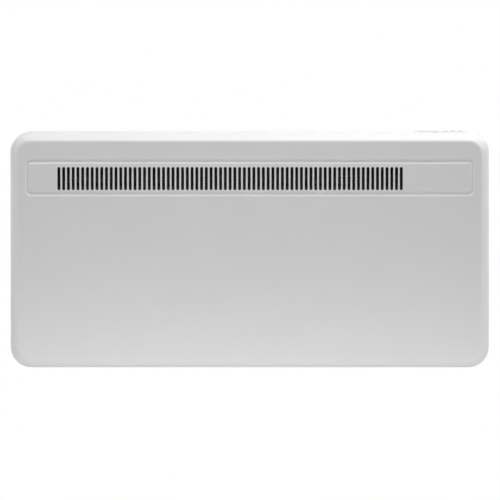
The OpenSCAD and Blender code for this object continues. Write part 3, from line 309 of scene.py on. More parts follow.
def lit_figures():
    """Lit figures of the display."""
    material, tree, shader = new_material("lit_figures")
    glow = grain(tree, 400, detail=1)
    colour = tuple(settings("heater_marks").digit_colour)
    lit = tint(tree, glow, shade(colour, 0.93), colour)
    tree.links.new(lit, shader.inputs["Base Color"])
    tree.links.new(lit, shader.inputs["Emission Color"])
    shader.inputs["Emission Strength"].default_value = 1.6
    shader.inputs["Roughness"].default_value = 0.5
    return material


def dress(material, *nodes):
    """Gives CAD nodes a finish."""
    for name in nodes:
        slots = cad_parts[name].material_slots
        if not slots:
            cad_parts[name].data.materials.append(material)
        for slot in slots:
            slot.material = material


# Meshes

def add_piece(name, mesh, material, body):
    """Turns a bmesh into a piece that rides on a body."""
    data = bpy.data.meshes.new(name)
    bmesh.ops.recalc_face_normals(mesh, faces=mesh.faces)
    mesh.to_mesh(data)
    mesh.free()
    data.materials.append(material)
    piece = bpy.data.objects.new(name, data)
    bpy.context.scene.collection.objects.link(piece)
    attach(piece, body)


def add_block(mesh, low, high, edge=0.0):
    """Adds a block between two corners, with its edges rounded off if edge is given."""
    corners = bmesh.ops.create_cube(mesh, size=1.0)["verts"]
    for v in corners:
        v.co = Vector(low[i] if v.co[i] < 0 else high[i] for i in range(3))
    if edge:
        edges = list({e for v in corners for e in v.link_edges})
        bmesh.ops.bevel(mesh, geom=edges, offset=edge, segments=2, profile=0.5, affect="EDGES")


def add_turned(mesh, profile, start, axis, steps=24, ends=True):
    """Adds a turned solid. Its profile is a list of radius and height along axis from start."""
    axis = Vector(axis).normalized()
    side = axis.orthogonal().normalized()
    other = axis.cross(side)
    rings = []
    for radius, height in profile:
        centre = Vector(start) + axis * height
        if radius == 0:
            rings.append([mesh.verts.new(centre)])
            continue
        turn = [2 * math.pi * i / steps for i in range(steps)]
        outward = [side * math.cos(a) + other * math.sin(a) for a in turn]
        rings.append([mesh.verts.new(centre + radius * way) for way in outward])
    for low, high in zip(rings, rings[1:]):
        for i in range(steps):
            j = (i + 1) % steps
            corners = [low[i % len(low)], low[j % len(low)], high[j % len(high)], high[i % len(high)]]
            mesh.faces.new(list(dict.fromkeys(corners)))
    for ring in (rings[0], rings[-1]) if ends else ():
        if len(ring) > 1:
            mesh.faces.new(ring)


def facing(origin, outward):
    """Frame on a surface: its z points outward, its x along +X, or along +Y where outward is along X."""
    z = Vector(outward).normalized()
    x = Vector((0, 1, 0)) if abs(z.x) > 0.9 else Vector((1, 0, 0))
    frame_axes = Matrix((x, z.cross(x), z)).transposed().to_4x4()
    return Matrix.Translation(origin) @ frame_axes


def stand(mesh, place):
    """Moves a mesh that was drawn about the origin onto a surface."""
    bmesh.ops.transform(mesh, matrix=place, verts=mesh.verts)


def join(mesh, other):
    """Adds the other mesh to the first and lets the other go."""
    data = bpy.data.meshes.new("joined")
    other.to_mesh(data)
    other.free()
    mesh.from_mesh(data)
    bpy.data.meshes.remove(data)


def solids(node):
    """Low and high corners of each separate solid of a CAD node."""
    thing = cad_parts[node]
    owner = {}

    def root(key):
        """The vertex that stands for all those found joined to this one."""
        while owner[key] != key:
            owner[key] = owner[owner[key]]
            key = owner[key]
        return key

    keys = [tuple(round(c, 6) for c in thing.matrix_world @ v.co) for v in thing.data.vertices]
    for key in keys:
        owner.setdefault(key, key)
    for face in thing.data.polygons:
        first = root(keys[face.vertices[0]])
        for i in face.vertices[1:]:
            owner[root(keys[i])] = first
    groups = {}
    for key in owner:
        groups.setdefault(root(key), []).append(key)
    boxes = []
    for group in groups.values():
        axes = list(zip(*group))
        boxes.append((Vector(map(min, axes)), Vector(map(max, axes))))
    return sorted(boxes, key=lambda box: tuple(round(c, 4) for c in box[0]))


def add_print(mesh, line, width, height, lift, closed=False):
    """Adds a printed line through flat points, lying on the surface whose height lift gives."""
    count = len(line)
    sides = []
    for i, point in enumerate(line):
        before = line[(i - 1) % count] if closed or i else point
        after = line[(i + 1) % count] if closed or i < count - 1 else point
        along = (Vector(after) - Vector(before)).normalized()
        across = Vector((-along.y, along.x)) * width / 2
        places = [Vector(point) + across, Vector(point) - across]
        sides.append([
            [mesh.verts.new((p.x, p.y, lift(p.x, p.y) + z)) for p in places] for z in (-height / 2, height)
        ])
    pairs = list(zip(sides, sides[1:])) + ([(sides[-1], sides[0])] if closed else [])
    for (low_a, top_a), (low_b, top_b) in pairs:
        mesh.faces.new((top_a[0], top_a[1], top_b[1], top_b[0]))
        mesh.faces.new((low_a[0], low_b[0], low_b[1], low_a[1]))
        mesh.faces.new((low_a[0], top_a[0], top_b[0], low_b[0]))
        mesh.faces.new((low_a[1], low_b[1], top_b[1], top_a[1]))
    if not closed:
        for low, top in (sides[0], sides[-1]):
            mesh.faces.new((low[0], low[1], top[1], top[0]))


def fine_line(points, step):
    """The same line with points no further apart than step."""
    made = [Vector(points[0])]
    for a, b in zip(points, points[1:]):
        parts = max(1, math.ceil((Vector(b) - Vector(a)).length / step))
        made += [Vector(a).lerp(Vector(b), i / parts) for i in range(1, parts + 1)]
    return made


def arc_line(centre, radius, start, end, steps):
    """Points along an arc, with its angles in degrees."""
    turn = [math.radians(start + (end - start) * i / steps) for i in range(steps + 1)]
    return [Vector((centre[0] + radius * math.cos(a), centre[1] + radius * math.sin(a))) for a in turn]


# Key marks and display

# A key's cap: how far its collar reaches beyond it, and how deep its dish is at the rim and in the middle
COLLAR_REACH = 0.9 * MM
DISH_RIM, DISH_MIDDLE = 0.25 * MM, 0.40 * MM
# Shares of the cap's radius
DISH_SHARE, MARK_SHARE = 0.6, 0.36


def key_mark(key, size):
    """Lines of one key's mark about its middle, each a list of points."""
    marks = {
        "standby": [arc_line((0, 0), size, 125, 415, 24), [(0, size * 0.25), (0, size * 1.25)]],
        "menu": [[(-size, y), (size, y)] for y in (-0.7 * size, 0, 0.7 * size)],
        "enter": [[(-size, 0), (-0.3 * size, -0.7 * size), (size, 0.8 * size)]],
        "down": [[(-size, 0.45 * size), (0, -0.6 * size), (size, 0.45 * size)]],
        "up": [[(-size, -0.45 * size), (0, 0.6 * size), (size, -0.45 * size)]],
    }
    return marks[key]


def print_key_mark(key, material):
    """Prints a key's mark on its dished cap."""
    marks = settings("heater_marks")
    low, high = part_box("button_" + key)
    cap_radius = (high.x - low.x) / 2 - COLLAR_REACH
    centre = Vector(((low.x + high.x) / 2, (low.y + high.y) / 2))

    def lift(x, y):
        """Height of the dish at a point."""
        away = math.hypot(x - centre.x, y - centre.y) / (DISH_SHARE * cap_radius)
        return high.z - DISH_MIDDLE + (DISH_MIDDLE - DISH_RIM) * min(1, away)

    mesh = bmesh.new()
    for line in key_mark(key, MARK_SHARE * cap_radius):
        line = [Vector(p) + centre for p in line]
        add_print(mesh, fine_line(line, 0.5 * MM), marks.mark_width, marks.mark_height, lift)
    add_piece("mark_" + key, mesh, material, key + "_key")


# Shares of a figure's height
FIGURE_WIDTH = 0.5
FIGURE_LINE = 0.11
FIGURE_INSET = 0.06
FIGURE_PITCH = 0.72
DOT_SIZE = 0.1
# Shares of the distance between two figures
DOT_PITCH = 0.45
DOT_SHIFT = 0.02
# Thickness of the lit lines
FIGURE_RISE = 0.1 * MM
# Lines of each figure: a is the top one, b to f go round clockwise, and g is the middle one
SEGMENTS = {
    "0": "abcdef", "1": "bc", "2": "abged", "3": "abgcd", "4": "fgbc",
    "5": "afgcd", "6": "afgedc", "7": "abc", "8": "abcdefg", "9": "abcdfg",
}


def add_figure(mesh, figure, left, base, height, surface):
    """Adds one seven-line figure, standing with its foot towards the room."""
    wide = height * FIGURE_WIDTH
    mid = base + height / 2
    inset = height * FIGURE_INSET
    ends = {
        "a": ((left, base + height), (left + wide, base + height)),
        "b": ((left + wide, mid), (left + wide, base + height)),
        "c": ((left + wide, base), (left + wide, mid)),
        "d": ((left, base), (left + wide, base)),
        "e": ((left, base), (left, mid)),
        "f": ((left, mid), (left, base + height)),
        "g": ((left, mid), (left + wide, mid)),
    }
    for letter in SEGMENTS[figure]:
        a, b = (Vector(p) for p in ends[letter])
        along = (b - a).normalized() * inset
        line = [a + along, b - along]
        add_print(mesh, line, height * FIGURE_LINE, FIGURE_RISE, lambda x, y: surface)


def build_display(material):
    """Lit figures on the display panel, under the lens."""
    marks = settings("heater_marks")
    low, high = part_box("display_panel")
    height = marks.digit_height
    pitch = height * FIGURE_PITCH
    steps = sum(pitch * DOT_PITCH if c == "." else pitch for c in marks.readout)
    total = steps - (pitch - height * FIGURE_WIDTH)
    left = (low.x + high.x - total) / 2
    base = (low.y + high.y - height) / 2
    mesh = bmesh.new()
    for c in marks.readout:
        if c == ".":
            dot = Vector((left - pitch * DOT_SHIFT, base))
            size = height * DOT_SIZE
            add_print(mesh, [dot, dot + Vector((size, 0))], size, FIGURE_RISE, lambda x, y: high.z)
            left += pitch * DOT_PITCH
            continue
        add_figure(mesh, c, left, base, height, high.z)
        left += pitch
    add_piece("display_figures", mesh, material, "heater")


# Parts on the power board and small metal parts

def scaled(points):
    """The same points turned from millimetres into metres."""
    return [tuple(c * MM for c in point) for point in points]


def at(x, y, z):
    """A point given in millimetres, in metres."""
    return (x * MM, y * MM, z * MM)


def board_place():
    """Frame at the middle of the power board's front."""
    low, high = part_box("power_board")
    return facing(Vector(((low.x + high.x) / 2, low.y, (low.z + high.z) / 2)), (0, -1, 0))


def board_piece(name, draw, material):
    """A piece on the front of the power board, drawn in metres about the board's middle."""
    mesh = bmesh.new()
    draw(mesh)
    stand(mesh, board_place())
    add_piece(name, mesh, material, "heater")


UP = (0, 0, 1)
# Places and sizes on the board in millimetres, with places counted from its middle, seen from the front
CHIP = (19, -33)
CHIP_HALF = 6
CHIP_BASE, CHIP_TOP = 0.35, 1.9
DIMPLE_INSET = 1.6
SMALL_CHIP = (2, -33)
SMALL_CHIP_HALF = (2.5, 3.5)
CHIPS = ((CHIP, CHIP_HALF, CHIP_HALF), (SMALL_CHIP, *SMALL_CHIP_HALF))
LEG_PITCH = 1.2
SMALL_LEG_PITCH = 1.5
RESISTORS = [(-6, 46), (-6, 50), (-6, 54), (-6, 25), (-6, 21)]
RESISTOR_REACH = 5.2
RESISTOR_RISE = 1.6
RESISTOR_HALF = (3.4, 1.4)
VARISTOR = (10, -48)
VARISTOR_LEGS = (-2.5, 2.5)
FILM_CAPACITOR = ((-13, 3), (1, 10))
RELAY_PINS = [(-26 + 5 * i, y) for i in range(3) for y in (-45, -25)]
FILM_PINS = [(x, y) for x in (-11, -1) for y in (5, 8)]
TRANSFORMER_PINS = [(x, y) for x in (9, 20, 31) for y in (30, 50)]
TRACKS = [
    [(-36, 51), (-30, 45), (-30, 30)], [(-27, 13), (-27, 20)], [(-27, -13), (-24, -17), (-24, -22)],
    [(-18, -48), (-18, -53)], [(-1, -50), (-1, -44), (-8, -37), (-8, -20), (-14, -14), (-20, -14)],
    [(-25, -53), (-20, -48)], [(19, -26), (19, -18), (22, -12)], [(24, -26), (33, -17), (33, 18), (26, 25)],
    [(8, 0), (8, -4)], [(8, 8), (8, 20), (14, 26)], [(0, 46), (5, 46)], [(0, 54), (6, 54)],
    [(-12, 46), (-16, 42), (-16, 37)], [(-12, 25), (-15, 25)], [(0, 25), (4, 21), (4, 8)],
    [(14, -40), (14, -46), (10, -50)], [(24, -40), (24, -50), (30, -56)],
]


def chip_links():
    """Fine tracks from the legs of the small chip to those of the large one."""
    links = []
    for i, leg in enumerate((-2, -1, 1, 2)):
        start = SMALL_CHIP[1] + (i - 1.5) * SMALL_LEG_PITCH
        end = CHIP[1] + leg * LEG_PITCH
        links.append([(5.2, start), (7.5, start), (9.5, end), (12.3, end)])
    return links


def draw_tracks(mesh):
    """Copper tracks that stand up a little under the solder resist."""
    for line, width in [(t, 1.4 * MM) for t in TRACKS] + [(t, 0.5 * MM) for t in chip_links()]:
        add_print(mesh, scaled(line), width, 0.07 * MM, lambda x, y: 0.035 * MM)


def draw_pads(mesh):
    """Tinned pads with a hole at the ends of the tracks."""
    ring = scaled([(0.35, -0.05), (0.35, 0.1), (0.5, 0.16), (0.85, 0.16), (1.0, 0.1), (1.0, -0.05)])
    for line in TRACKS:
        for x, y in (line[0], line[-1]):
            add_turned(mesh, ring + ring[:1], at(x, y, 0), UP, 20, ends=False)


# How far the printed outlines keep from the parts
LARGE_ROOM, CHIP_ROOM, FILM_ROOM, RESISTOR_ROOM = 0.9, 1.9, 0.8, 0.2


def draw_board_print(mesh):
    """Printed outlines round the parts of the board."""
    boxes = [(part_on_board(name), LARGE_ROOM) for name in ("transformer", "relay", "fuse_holder")]
    boxes += [(around(*chip), CHIP_ROOM) for chip in CHIPS]
    boxes.append(((*FILM_CAPACITOR[0], *FILM_CAPACITOR[1]), FILM_ROOM))
    boxes += [(around(place, *RESISTOR_HALF), RESISTOR_ROOM) for place in RESISTORS]
    for (left, low, right, top), away in boxes:
        left, low, right, top = left - away, low - away, right + away, top + away
        print_outline(mesh, scaled([(left, low), (right, low), (right, top), (left, top)]))
    for low, high in solids("capacitors"):
        middle = board_place().inverted() @ ((low + high) / 2)
        print_outline(mesh, arc_line((middle.x, middle.y), (high.x - low.x) / 2 + 0.7 * MM, 0, 352, 44))


def print_outline(mesh, line):
    """A closed fine line of ink that lies on the tracks' level."""
    add_print(mesh, line, 0.25 * MM, 0.03 * MM, lambda x, y: 0.11 * MM, closed=True)


def part_on_board(node):
    """Left, low, right and top of a CAD node in the board's own millimetres."""
    place = board_place().inverted()
    xs, ys, _ = zip(*((place @ corner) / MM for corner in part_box(node)))
    return min(xs), min(ys), max(xs), max(ys)


def around(middle, half_x, half_y):
    """Left, low, right and top of a box about its middle."""
    x, y = middle
    return x - half_x, y - half_y, x + half_x, y + half_y


def draw_chip(mesh):
    """Two moulded chips, the large one with a dimple that marks its first leg."""
    for chip in CHIPS:
        left, low, right, top = around(*chip)
        add_block(mesh, at(left, low, CHIP_BASE), at(right, top, CHIP_TOP), 0.25 * MM)
    dimple = scaled([(0, 0), (0.8, 0), (0.7, 0.03), (0, 0.01)])
    corner = CHIP_HALF - DIMPLE_INSET
    place = at(CHIP[0] - corner, CHIP[1] + corner, CHIP_TOP)
    add_turned(mesh, dimple, place, UP, 16)


def draw_chip_legs(mesh):
    """Bent legs of both chips, each a riser and a foot."""
    legs = []
    for i in range(-4, 5):
        for side in (-1, 1):
            legs.append((CHIP[0] + i * LEG_PITCH, CHIP[1] + side * CHIP_HALF, 0, side))
            legs.append((CHIP[0] + side * CHIP_HALF, CHIP[1] + i * LEG_PITCH, side, 0))
    for i in (-1.5, -0.5, 0.5, 1.5):
        for side in (-1, 1):
            x = SMALL_CHIP[0] + side * SMALL_CHIP_HALF[0]
            legs.append((x, SMALL_CHIP[1] + i * SMALL_LEG_PITCH, side, 0))
    for x, y, out_x, out_y in legs:
        wide_x, wide_y = 0.22 * abs(out_y), 0.22 * abs(out_x)
        for start, end, low_z, high_z in ((-0.1, 0.35, 0.0, 1.2), (0.2, 1.2, 0.0, 0.25)):
            xs = sorted((x + out_x * start, x + out_x * end))
            ys = sorted((y + out_y * start, y + out_y * end))
            low = at(xs[0] - wide_x, ys[0] - wide_y, low_z)
            high = at(xs[1] + wide_x, ys[1] + wide_y, high_z)
            add_block(mesh, low, high)


def draw_resistors(mesh):
    """Waisted resistor bodies that lie along x."""
    profile = scaled([(0, 0), (0.9, 0.1), (1.25, 0.5), (1.25, 1.4), (1.0, 1.9), (1.0, 4.6), (1.25, 5.1),
                      (1.25, 6.0), (0.9, 6.4), (0, 6.5)])
    for x, y in RESISTORS:
        add_turned(mesh, profile, at(x - 3.25, y, RESISTOR_RISE), (1, 0, 0), 20)


def draw_resistor_wires(mesh):
    """Wire ends of the resistors, bent down to the board."""
    level = scaled([(0, 0), (0.35, 0), (0.35, 2.3), (0, 2.5)])
    upright = scaled([(0, 0), (0.9, 0), (0.6, 0.4), (0.35, 0.6), (0.35, 1.9), (0, 2.05)])
    for x, y in RESISTORS:
        for side in (-1, 1):
            add_turned(mesh, level, at(x + side * 3.0, y, RESISTOR_RISE), (side, 0, 0), 12)
            add_turned(mesh, upright, at(x + side * RESISTOR_REACH, y, -0.1), UP, 12)


def draw_varistor(mesh):
    """Dipped disc that stands on the board beside the mains terminals."""
    x, y = VARISTOR
    disc = scaled([(0, 0), (4.2, 0), (5.0, 0.5), (5.2, 1.4), (5.2, 2.6), (5.0, 3.5), (4.2, 4.0), (0, 4.0)])
    foot = scaled([(0, 0), (0.9, 0), (0.5, 0.6), (0.5, 3.2), (0, 3.4)])
    add_turned(mesh, disc, at(x - 2, y, 6.6), (1, 0, 0), 32)
    for leg in VARISTOR_LEGS:
        add_turned(mesh, foot, at(x, y + leg, 0), UP, 12)


def draw_film_capacitor(mesh):
    """Boxed film capacitor on two small feet."""
    (left, bottom), (right, top) = FILM_CAPACITOR
    add_block(mesh, at(left, bottom, 0.6), at(right, top, 11), 0.6 * MM)
    for x in (left + 1, right - 2.6):
        add_block(mesh, at(x, bottom + 0.4, 0), at(x + 1.6, top - 0.4, 1.4), 0.2 * MM)


def draw_solder(mesh):
    """Solder cones on the back of the board, under the parts that pass through it."""
    low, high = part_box("power_board")
    places = [(x + side * RESISTOR_REACH, y) for x, y in RESISTORS for side in (-1, 1)]
    places += RELAY_PINS + [(VARISTOR[0], VARISTOR[1] + leg) for leg in VARISTOR_LEGS]
    places += FILM_PINS + TRANSFORMER_PINS
    cone = scaled([(0, 0), (1.1, 0), (0.7, 0.3), (0.35, 0.9), (0, 1.1)])
    for x, y in places:
        add_turned(mesh, cone, (x * MM, y * MM, low.y - high.y), (0, 0, -1), 12)


def draw_winding(mesh):
    """Taped winding that shows at both ends of the transformer's core."""
    low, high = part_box("transformer")
    place = board_place().inverted()
    a, b = place @ low, place @ high
    side_gap, flat_gap = 3.7 * MM, 1.5 * MM
    proud, deep = 0.3 * MM, 3.8 * MM
    base, top = min(a.z, b.z) + flat_gap, max(a.z, b.z) - flat_gap
    for end, sign in ((min(a.y, b.y), 1), (max(a.y, b.y), -1)):
        ys = sorted((end - sign * proud, end + sign * deep))
        add_block(mesh, (a.x + side_gap, ys[0], base), (b.x - side_gap, ys[1], top), 0.6 * MM)


def build_crimps(material):
    """Crimped barrels where the element's wires meet its rod."""
    low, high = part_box("element_rod")
    middle_y, middle_z = (low.y + high.y) / 2, (low.z + high.z) / 2
    profile = scaled([(1.7, 0), (2.3, 0), (2.3, 1.6), (1.9, 2.2), (1.9, 3.4), (2.3, 4.0), (2.3, 5.2),
                      (1.9, 5.8), (1.9, 7.0), (2.3, 7.6), (2.3, 9), (1.7, 9)])
    grip = 4 * MM
    mesh = bmesh.new()
    for x, side in ((low.x, -1), (high.x, 1)):
        add_turned(mesh, profile, (x - side * grip, middle_y, middle_z), (side, 0, 0))
    add_piece("lead_crimps", mesh, material, "heater")


def half_head(mesh, side, radius, slot, height):
    """One half of a slotted screw head that stands on the origin."""
    rim = arc_line((0, 0), radius, 11, 169, 16)
    ring = [Vector((p.x, side * max(p.y, slot / 2), 0)) for p in rim]
    low = [mesh.verts.new(p) for p in ring]
    top = [mesh.verts.new(p + Vector((0, 0, height))) for p in ring]
    mesh.faces.new(low)
    mesh.faces.new(top)
    for a in range(len(ring)):
        b = (a + 1) % len(ring)
        mesh.faces.new((low[a], low[b], top[b], top[a]))


def build_terminal_screws(material):
    """Slotted clamping screws in the three pockets of the terminal block, each turned a little further."""
    low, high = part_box("terminal_block")
    pocket, rise = 4 * MM, 0.6 * (high.z - low.z)
    mesh = bmesh.new()
    for i in range(3):
        x = low.x + (high.x - low.x) * (i + 0.5) / 3
        place = Vector((x, low.y + pocket, low.z + rise))
        one = bmesh.new()
        for side in (-1, 1):
            half_head(one, side, 2.4 * MM, 0.9 * MM, 1.6 * MM)
        add_turned(one, scaled([(0, 0), (2.3, 0), (2.3, 0.8), (0, 0.8)]), (0, 0, 0), UP)
        stand(one, facing(place, (0, -1, 0)) @ Matrix.Rotation(math.radians(35 * i - 20), 4, "Z"))
        join(mesh, one)
    add_piece("terminal_screws", mesh, material, "heater")


def build_welds(material):
    """Spot welds on the feet of the hinge lugs and of the latch tongues."""
    ring = scaled([(0, 0.02), (1.5, 0.02), (2.1, 0.14), (2.5, 0.12), (2.9, -0.05)])
    # Each node, the thickness of its feet, and how far below its top the welds lie
    feet = (("pivot_lugs", 2 * MM, (5 * MM, 17 * MM)), ("latch_tongues", 1.2 * MM, (6 * MM,)))
    mesh = bmesh.new()
    for node, foot_t, drops in feet:
        for low, high in solids(node):
            for drop in drops:
                place = ((low.x + high.x) / 2, low.y + foot_t, high.z - drop)
                add_turned(mesh, ring, place, (0, 1, 0))
    add_piece("spot_welds", mesh, material, "heater")


def build_standby_light(material):
    """Small domed light behind the standby key."""
    low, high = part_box("button_standby")
    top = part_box("control_bezel")[1].z
    away = 5 * MM
    mesh = bmesh.new()
    dome = scaled([(0, -0.5), (1.5, -0.5), (1.5, 0.1), (1.3, 0.32), (0.8, 0.5), (0, 0.58)])
    add_turned(mesh, dome, ((low.x + high.x) / 2, high.y + away, top), UP)
    add_piece("standby_light", mesh, material, "heater")


# Operators

# How far the picture's middle lies to the right of and above the heater's own middle
PICTURE_RIGHT, PICTURE_UP = 0.4 * MM, 1.6 * MM


class HEATER_OT_camera(bpy.types.Operator):
    """Sets the camera at the photograph's angle"""

    bl_idname = "heater.camera"
    bl_label = "Camera"

    def execute(self, context):
        stage = settings("heater_stage")
        face_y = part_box("front_panel")[0].y
        aim = Vector((PICTURE_RIGHT, face_y, PICTURE_UP))
        rise = stage.camera_rise
        data = bpy.data.cameras.new("camera")
        data.lens = data.sensor_width * stage.camera_distance / stage.view_width
        camera = bpy.data.objects.new("camera", data)
        context.scene.collection.objects.link(camera)
        camera.location = aim + stage.camera_distance * Vector((0, -math.cos(rise), math.sin(rise)))
        camera.rotation_euler = (math.pi / 2 - rise, 0, 0)
        context.scene.camera = camera
        return {"FINISHED"}


class HEATER_OT_case_finish(bpy.types.Operator):
    """Coats the case and the wall bracket"""

    bl_idname = "heater.case_finish"
    bl_label = "Case and bracket finish"

    def execute(self, context):
        dress(powder_coat(), "front_panel", "bracket_arm_left", "bracket_arm_right", "bracket_rail_upper",
              "bracket_rail_lower")
        dress(zinc_sheet(), "back_panel", "pivot_lugs", "latch_tongues")
        dress(drawn_metal("plate_metal", (0.27, 0.275, 0.28), 0.36, (0.02, 1, 1)), "data_plate")
        dress(moulded("bumper_rubber", (0.022, 0.022, 0.023), 0.7), "bumper_pads", "lead_grommets")
        return {"FINISHED"}


class HEATER_OT_duct_finish(bpy.types.Operator):
    """Finishes the duct, the element and the guard"""

    bl_idname = "heater.duct_finish"
    bl_label = "Duct and element finish"

    def execute(self, context):
        coat = settings("heater_coat")
        # The duct, its ends and the brackets inside get the zinc at 0.35 of its colour: painted shade for the
        # dark inside behind the slots.
        painted_shade_zinc = zinc_sheet("duct_zinc", shade(tuple(coat.zinc_colour), 0.35), 0.5)
        dress(painted_shade_zinc, "air_guide", "duct_end_left", "duct_end_right", "element_bracket_left",
              "element_bracket_right", "cutout_bracket")
        dress(zinc_sheet("shield_sheet", shade(tuple(coat.zinc_colour), 1.1), 0.34), "heat_shield")
        aluminium = drawn_metal("extruded_aluminium", tuple(coat.aluminium_colour), 0.34, (0.02, 1, 1))
        dress(aluminium, "element_body")
        # Black enamel is the outlet guard's own colour; on the outlet sill behind the slots the same black is
        # painted shade.
        dress(moulded("black_enamel", tuple(coat.enamel_colour), 0.55), "outlet_guard", "outlet_sill")
        dress(ceramic(), "ceramic_bushes")
        dress(moulded("lead_sleeve", (0.17, 0.065, 0.03), 0.6), "element_leads", "supply_leads")
        dress(moulded("black_sleeve", (0.03, 0.03, 0.032), 0.55), "cutout_leads", "sensor_lead")
        dress(striped_sleeve("earth_sleeve", (0.05, 0.20, 0.03), (0.70, 0.56, 0.04), 9 * MM), "earth_lead")
        ribbon = striped_sleeve("ribbon_sleeve", (0.24, 0.245, 0.25), (0.40, 0.41, 0.42), 1.27 * MM, "X")
        dress(ribbon, "ribbon_cable")
        return {"FINISHED"}


class HEATER_OT_hardware_finish(bpy.types.Operator):
    """Finishes screws, pins, clips and the rod"""

    bl_idname = "heater.hardware_finish"
    bl_label = "Hardware finish"

    def execute(self, context):
        steel = tuple(settings("heater_coat").steel_colour)
        dress(drawn_metal("turned_steel", steel, 0.28, (1, 0.05, 1)), "case_screws", "pivot_pins",
              "clip_rivets", "earth_stud", "room_sensor", "element_rod")
        dress(drawn_metal("spring_steel", shade(steel, 0.85), 0.25, (0.05, 1, 1)), "latch_clips", "pin_clips",
              "tact_switches", "transformer", "board_screws")
        return {"FINISHED"}


class HEATER_OT_plastic_finish(bpy.types.Operator):
    """Finishes the control panel, the keys and the inner plastics"""

    bl_idname = "heater.plastic_finish"
    bl_label = "Plastic finish"

    def execute(self, context):
        coat = settings("heater_coat")
        dress(moulded("bezel_plastic", tuple(coat.bezel_colour), 0.40, 0.008 * MM), "control_bezel")
        dress(moulded("dark_plastic", tuple(coat.plastic_colour), 0.42), "cable_gland", "gland_nut",
              "thermal_cutout", "relay", "fuse_holder")
        buttons = ["button_" + key for key in KEYS]
        dress(moulded("key_plastic", tuple(coat.key_colour), 0.38, 0.004 * MM), *buttons)
        dress(moulded("natural_nylon", (0.66, 0.64, 0.58), 0.45), "board_spacers", "sensor_clip")
        dress(moulded("ivory_plastic", (0.62, 0.56, 0.43), 0.4), "terminal_block", "cable_sockets")
        dress(moulded("can_sleeve", (0.03, 0.034, 0.05), 0.3, 0.001 * MM), "capacitors")
        dress(moulded("display_glass", (0.02, 0.022, 0.024), 0.15, 0.001 * MM), "display_panel")
        dress(smoked_lens(), "display_lens")
        dress(circuit_board(), "display_board", "power_board")
        return {"FINISHED"}


class HEATER_OT_key_marks(bpy.types.Operator):
    """Prints a mark on each key"""

    bl_idname = "heater.key_marks"
    bl_label = "Key marks"

    def execute(self, context):
        ink = moulded("key_print", tuple(settings("heater_marks").mark_colour), 0.5, 0.002 * MM)
        for key in KEYS:
            print_key_mark(key, ink)
        return {"FINISHED"}


class HEATER_OT_display(bpy.types.Operator):
    """Lights the figures of the display"""

    bl_idname = "heater.display"
    bl_label = "Display figures"

    def execute(self, context):
        build_display(lit_figures())
        return {"FINISHED"}


class HEATER_OT_board_parts(bpy.types.Operator):
    """Fits the small parts and the tracks of the power board"""

    bl_idname = "heater.board_parts"
    bl_label = "Power board parts"

    def execute(self, context):
        black = moulded("chip_plastic", (0.02, 0.02, 0.021), 0.45, 0.004 * MM)
        tinned = drawn_metal("tinned_wire", (0.60, 0.60, 0.58), 0.32, (1, 1, 0.2))
        board_piece("board_tracks", draw_tracks, circuit_board("board_tracks", 1.8))
        board_piece("board_pads", draw_pads, tinned)
        ink = moulded("board_ink", (0.62, 0.64, 0.60), 0.6, 0.002 * MM)
        board_piece("board_print", draw_board_print, ink)
        board_piece("board_chips", draw_chip, black)
        board_piece("chip_legs", draw_chip_legs, tinned)
        enamel = moulded("resistor_enamel", (0.30, 0.42, 0.52), 0.35)
        board_piece("resistor_bodies", draw_resistors, enamel)
        board_piece("resistor_wires", draw_resistor_wires, tinned)
        epoxy = moulded("varistor_epoxy", (0.55, 0.20, 0.03), 0.35)
        board_piece("varistor", draw_varistor, epoxy)
        film = moulded("boxed_film", (0.60, 0.50, 0.10), 0.4)
        board_piece("film_capacitor", draw_film_capacitor, film)
        board_piece("board_solder", draw_solder, tinned)
        tape = moulded("winding_tape", (0.62, 0.40, 0.05), 0.3)
        board_piece("transformer_winding", draw_winding, tape)
        return {"FINISHED"}


class HEATER_OT_metal_parts(bpy.types.Operator):
    """Fits the crimps, the terminal screws and the spot welds"""

    bl_idname = "heater.metal_parts"
    bl_label = "Small metal parts"

    def execute(self, context):
        coat = settings("heater_coat")
        turned = drawn_metal("bright_fittings", tuple(coat.steel_colour), 0.3, (1, 1, 1))
        build_crimps(turned)
        build_terminal_screws(turned)
        build_welds(zinc_sheet("weld_zinc", shade(tuple(coat.zinc_colour), 0.7), 0.5))
        return {"FINISHED"}


class HEATER_OT_standby_light(bpy.types.Operator):
    """Fits the small light behind the standby key"""

    bl_idname = "heater.standby_light"
    bl_label = "Standby light"

    def execute(self, context):
        build_standby_light(moulded("light_dome", (0.28, 0.03, 0.02), 0.12, 0.0005 * MM))
        return {"FINISHED"}


def pale_surround(tree, surface, share, white):
    """Shows white to the camera, gloss and glass, for a share of what they see, and else the surface."""
    path = tree.nodes.new("ShaderNodeLightPath")
    seen = path.outputs["Is Camera Ray"]
    for other in ("Is Glossy Ray", "Is Transmission Ray"):
        seen = combine(tree, "MAXIMUM", seen, path.outputs[other])
    if share:
        seen = combine(tree, "MULTIPLY", seen, share)
    mix = tree.nodes.new("ShaderNodeMixShader")
    white.inputs["Color"].default_value = (1, 1, 1, 1)
    white.inputs["Strength"].default_value = 1
    tree.links.new(seen, mix.inputs["Fac"])
    tree.links.new(surface, mix.inputs[1])
    tree.links.new(white.outputs[0], mix.inputs[2])
    return mix.outputs["Shader"]


def combine(tree, operation, first, second):
    """One value made from two."""
    node = tree.nodes.new("ShaderNodeMath")
    node.operation = operation
    tree.links.new(first, node.inputs[0])
    tree.links.new(second, node.inputs[1])
    return node.outputs["Value"]


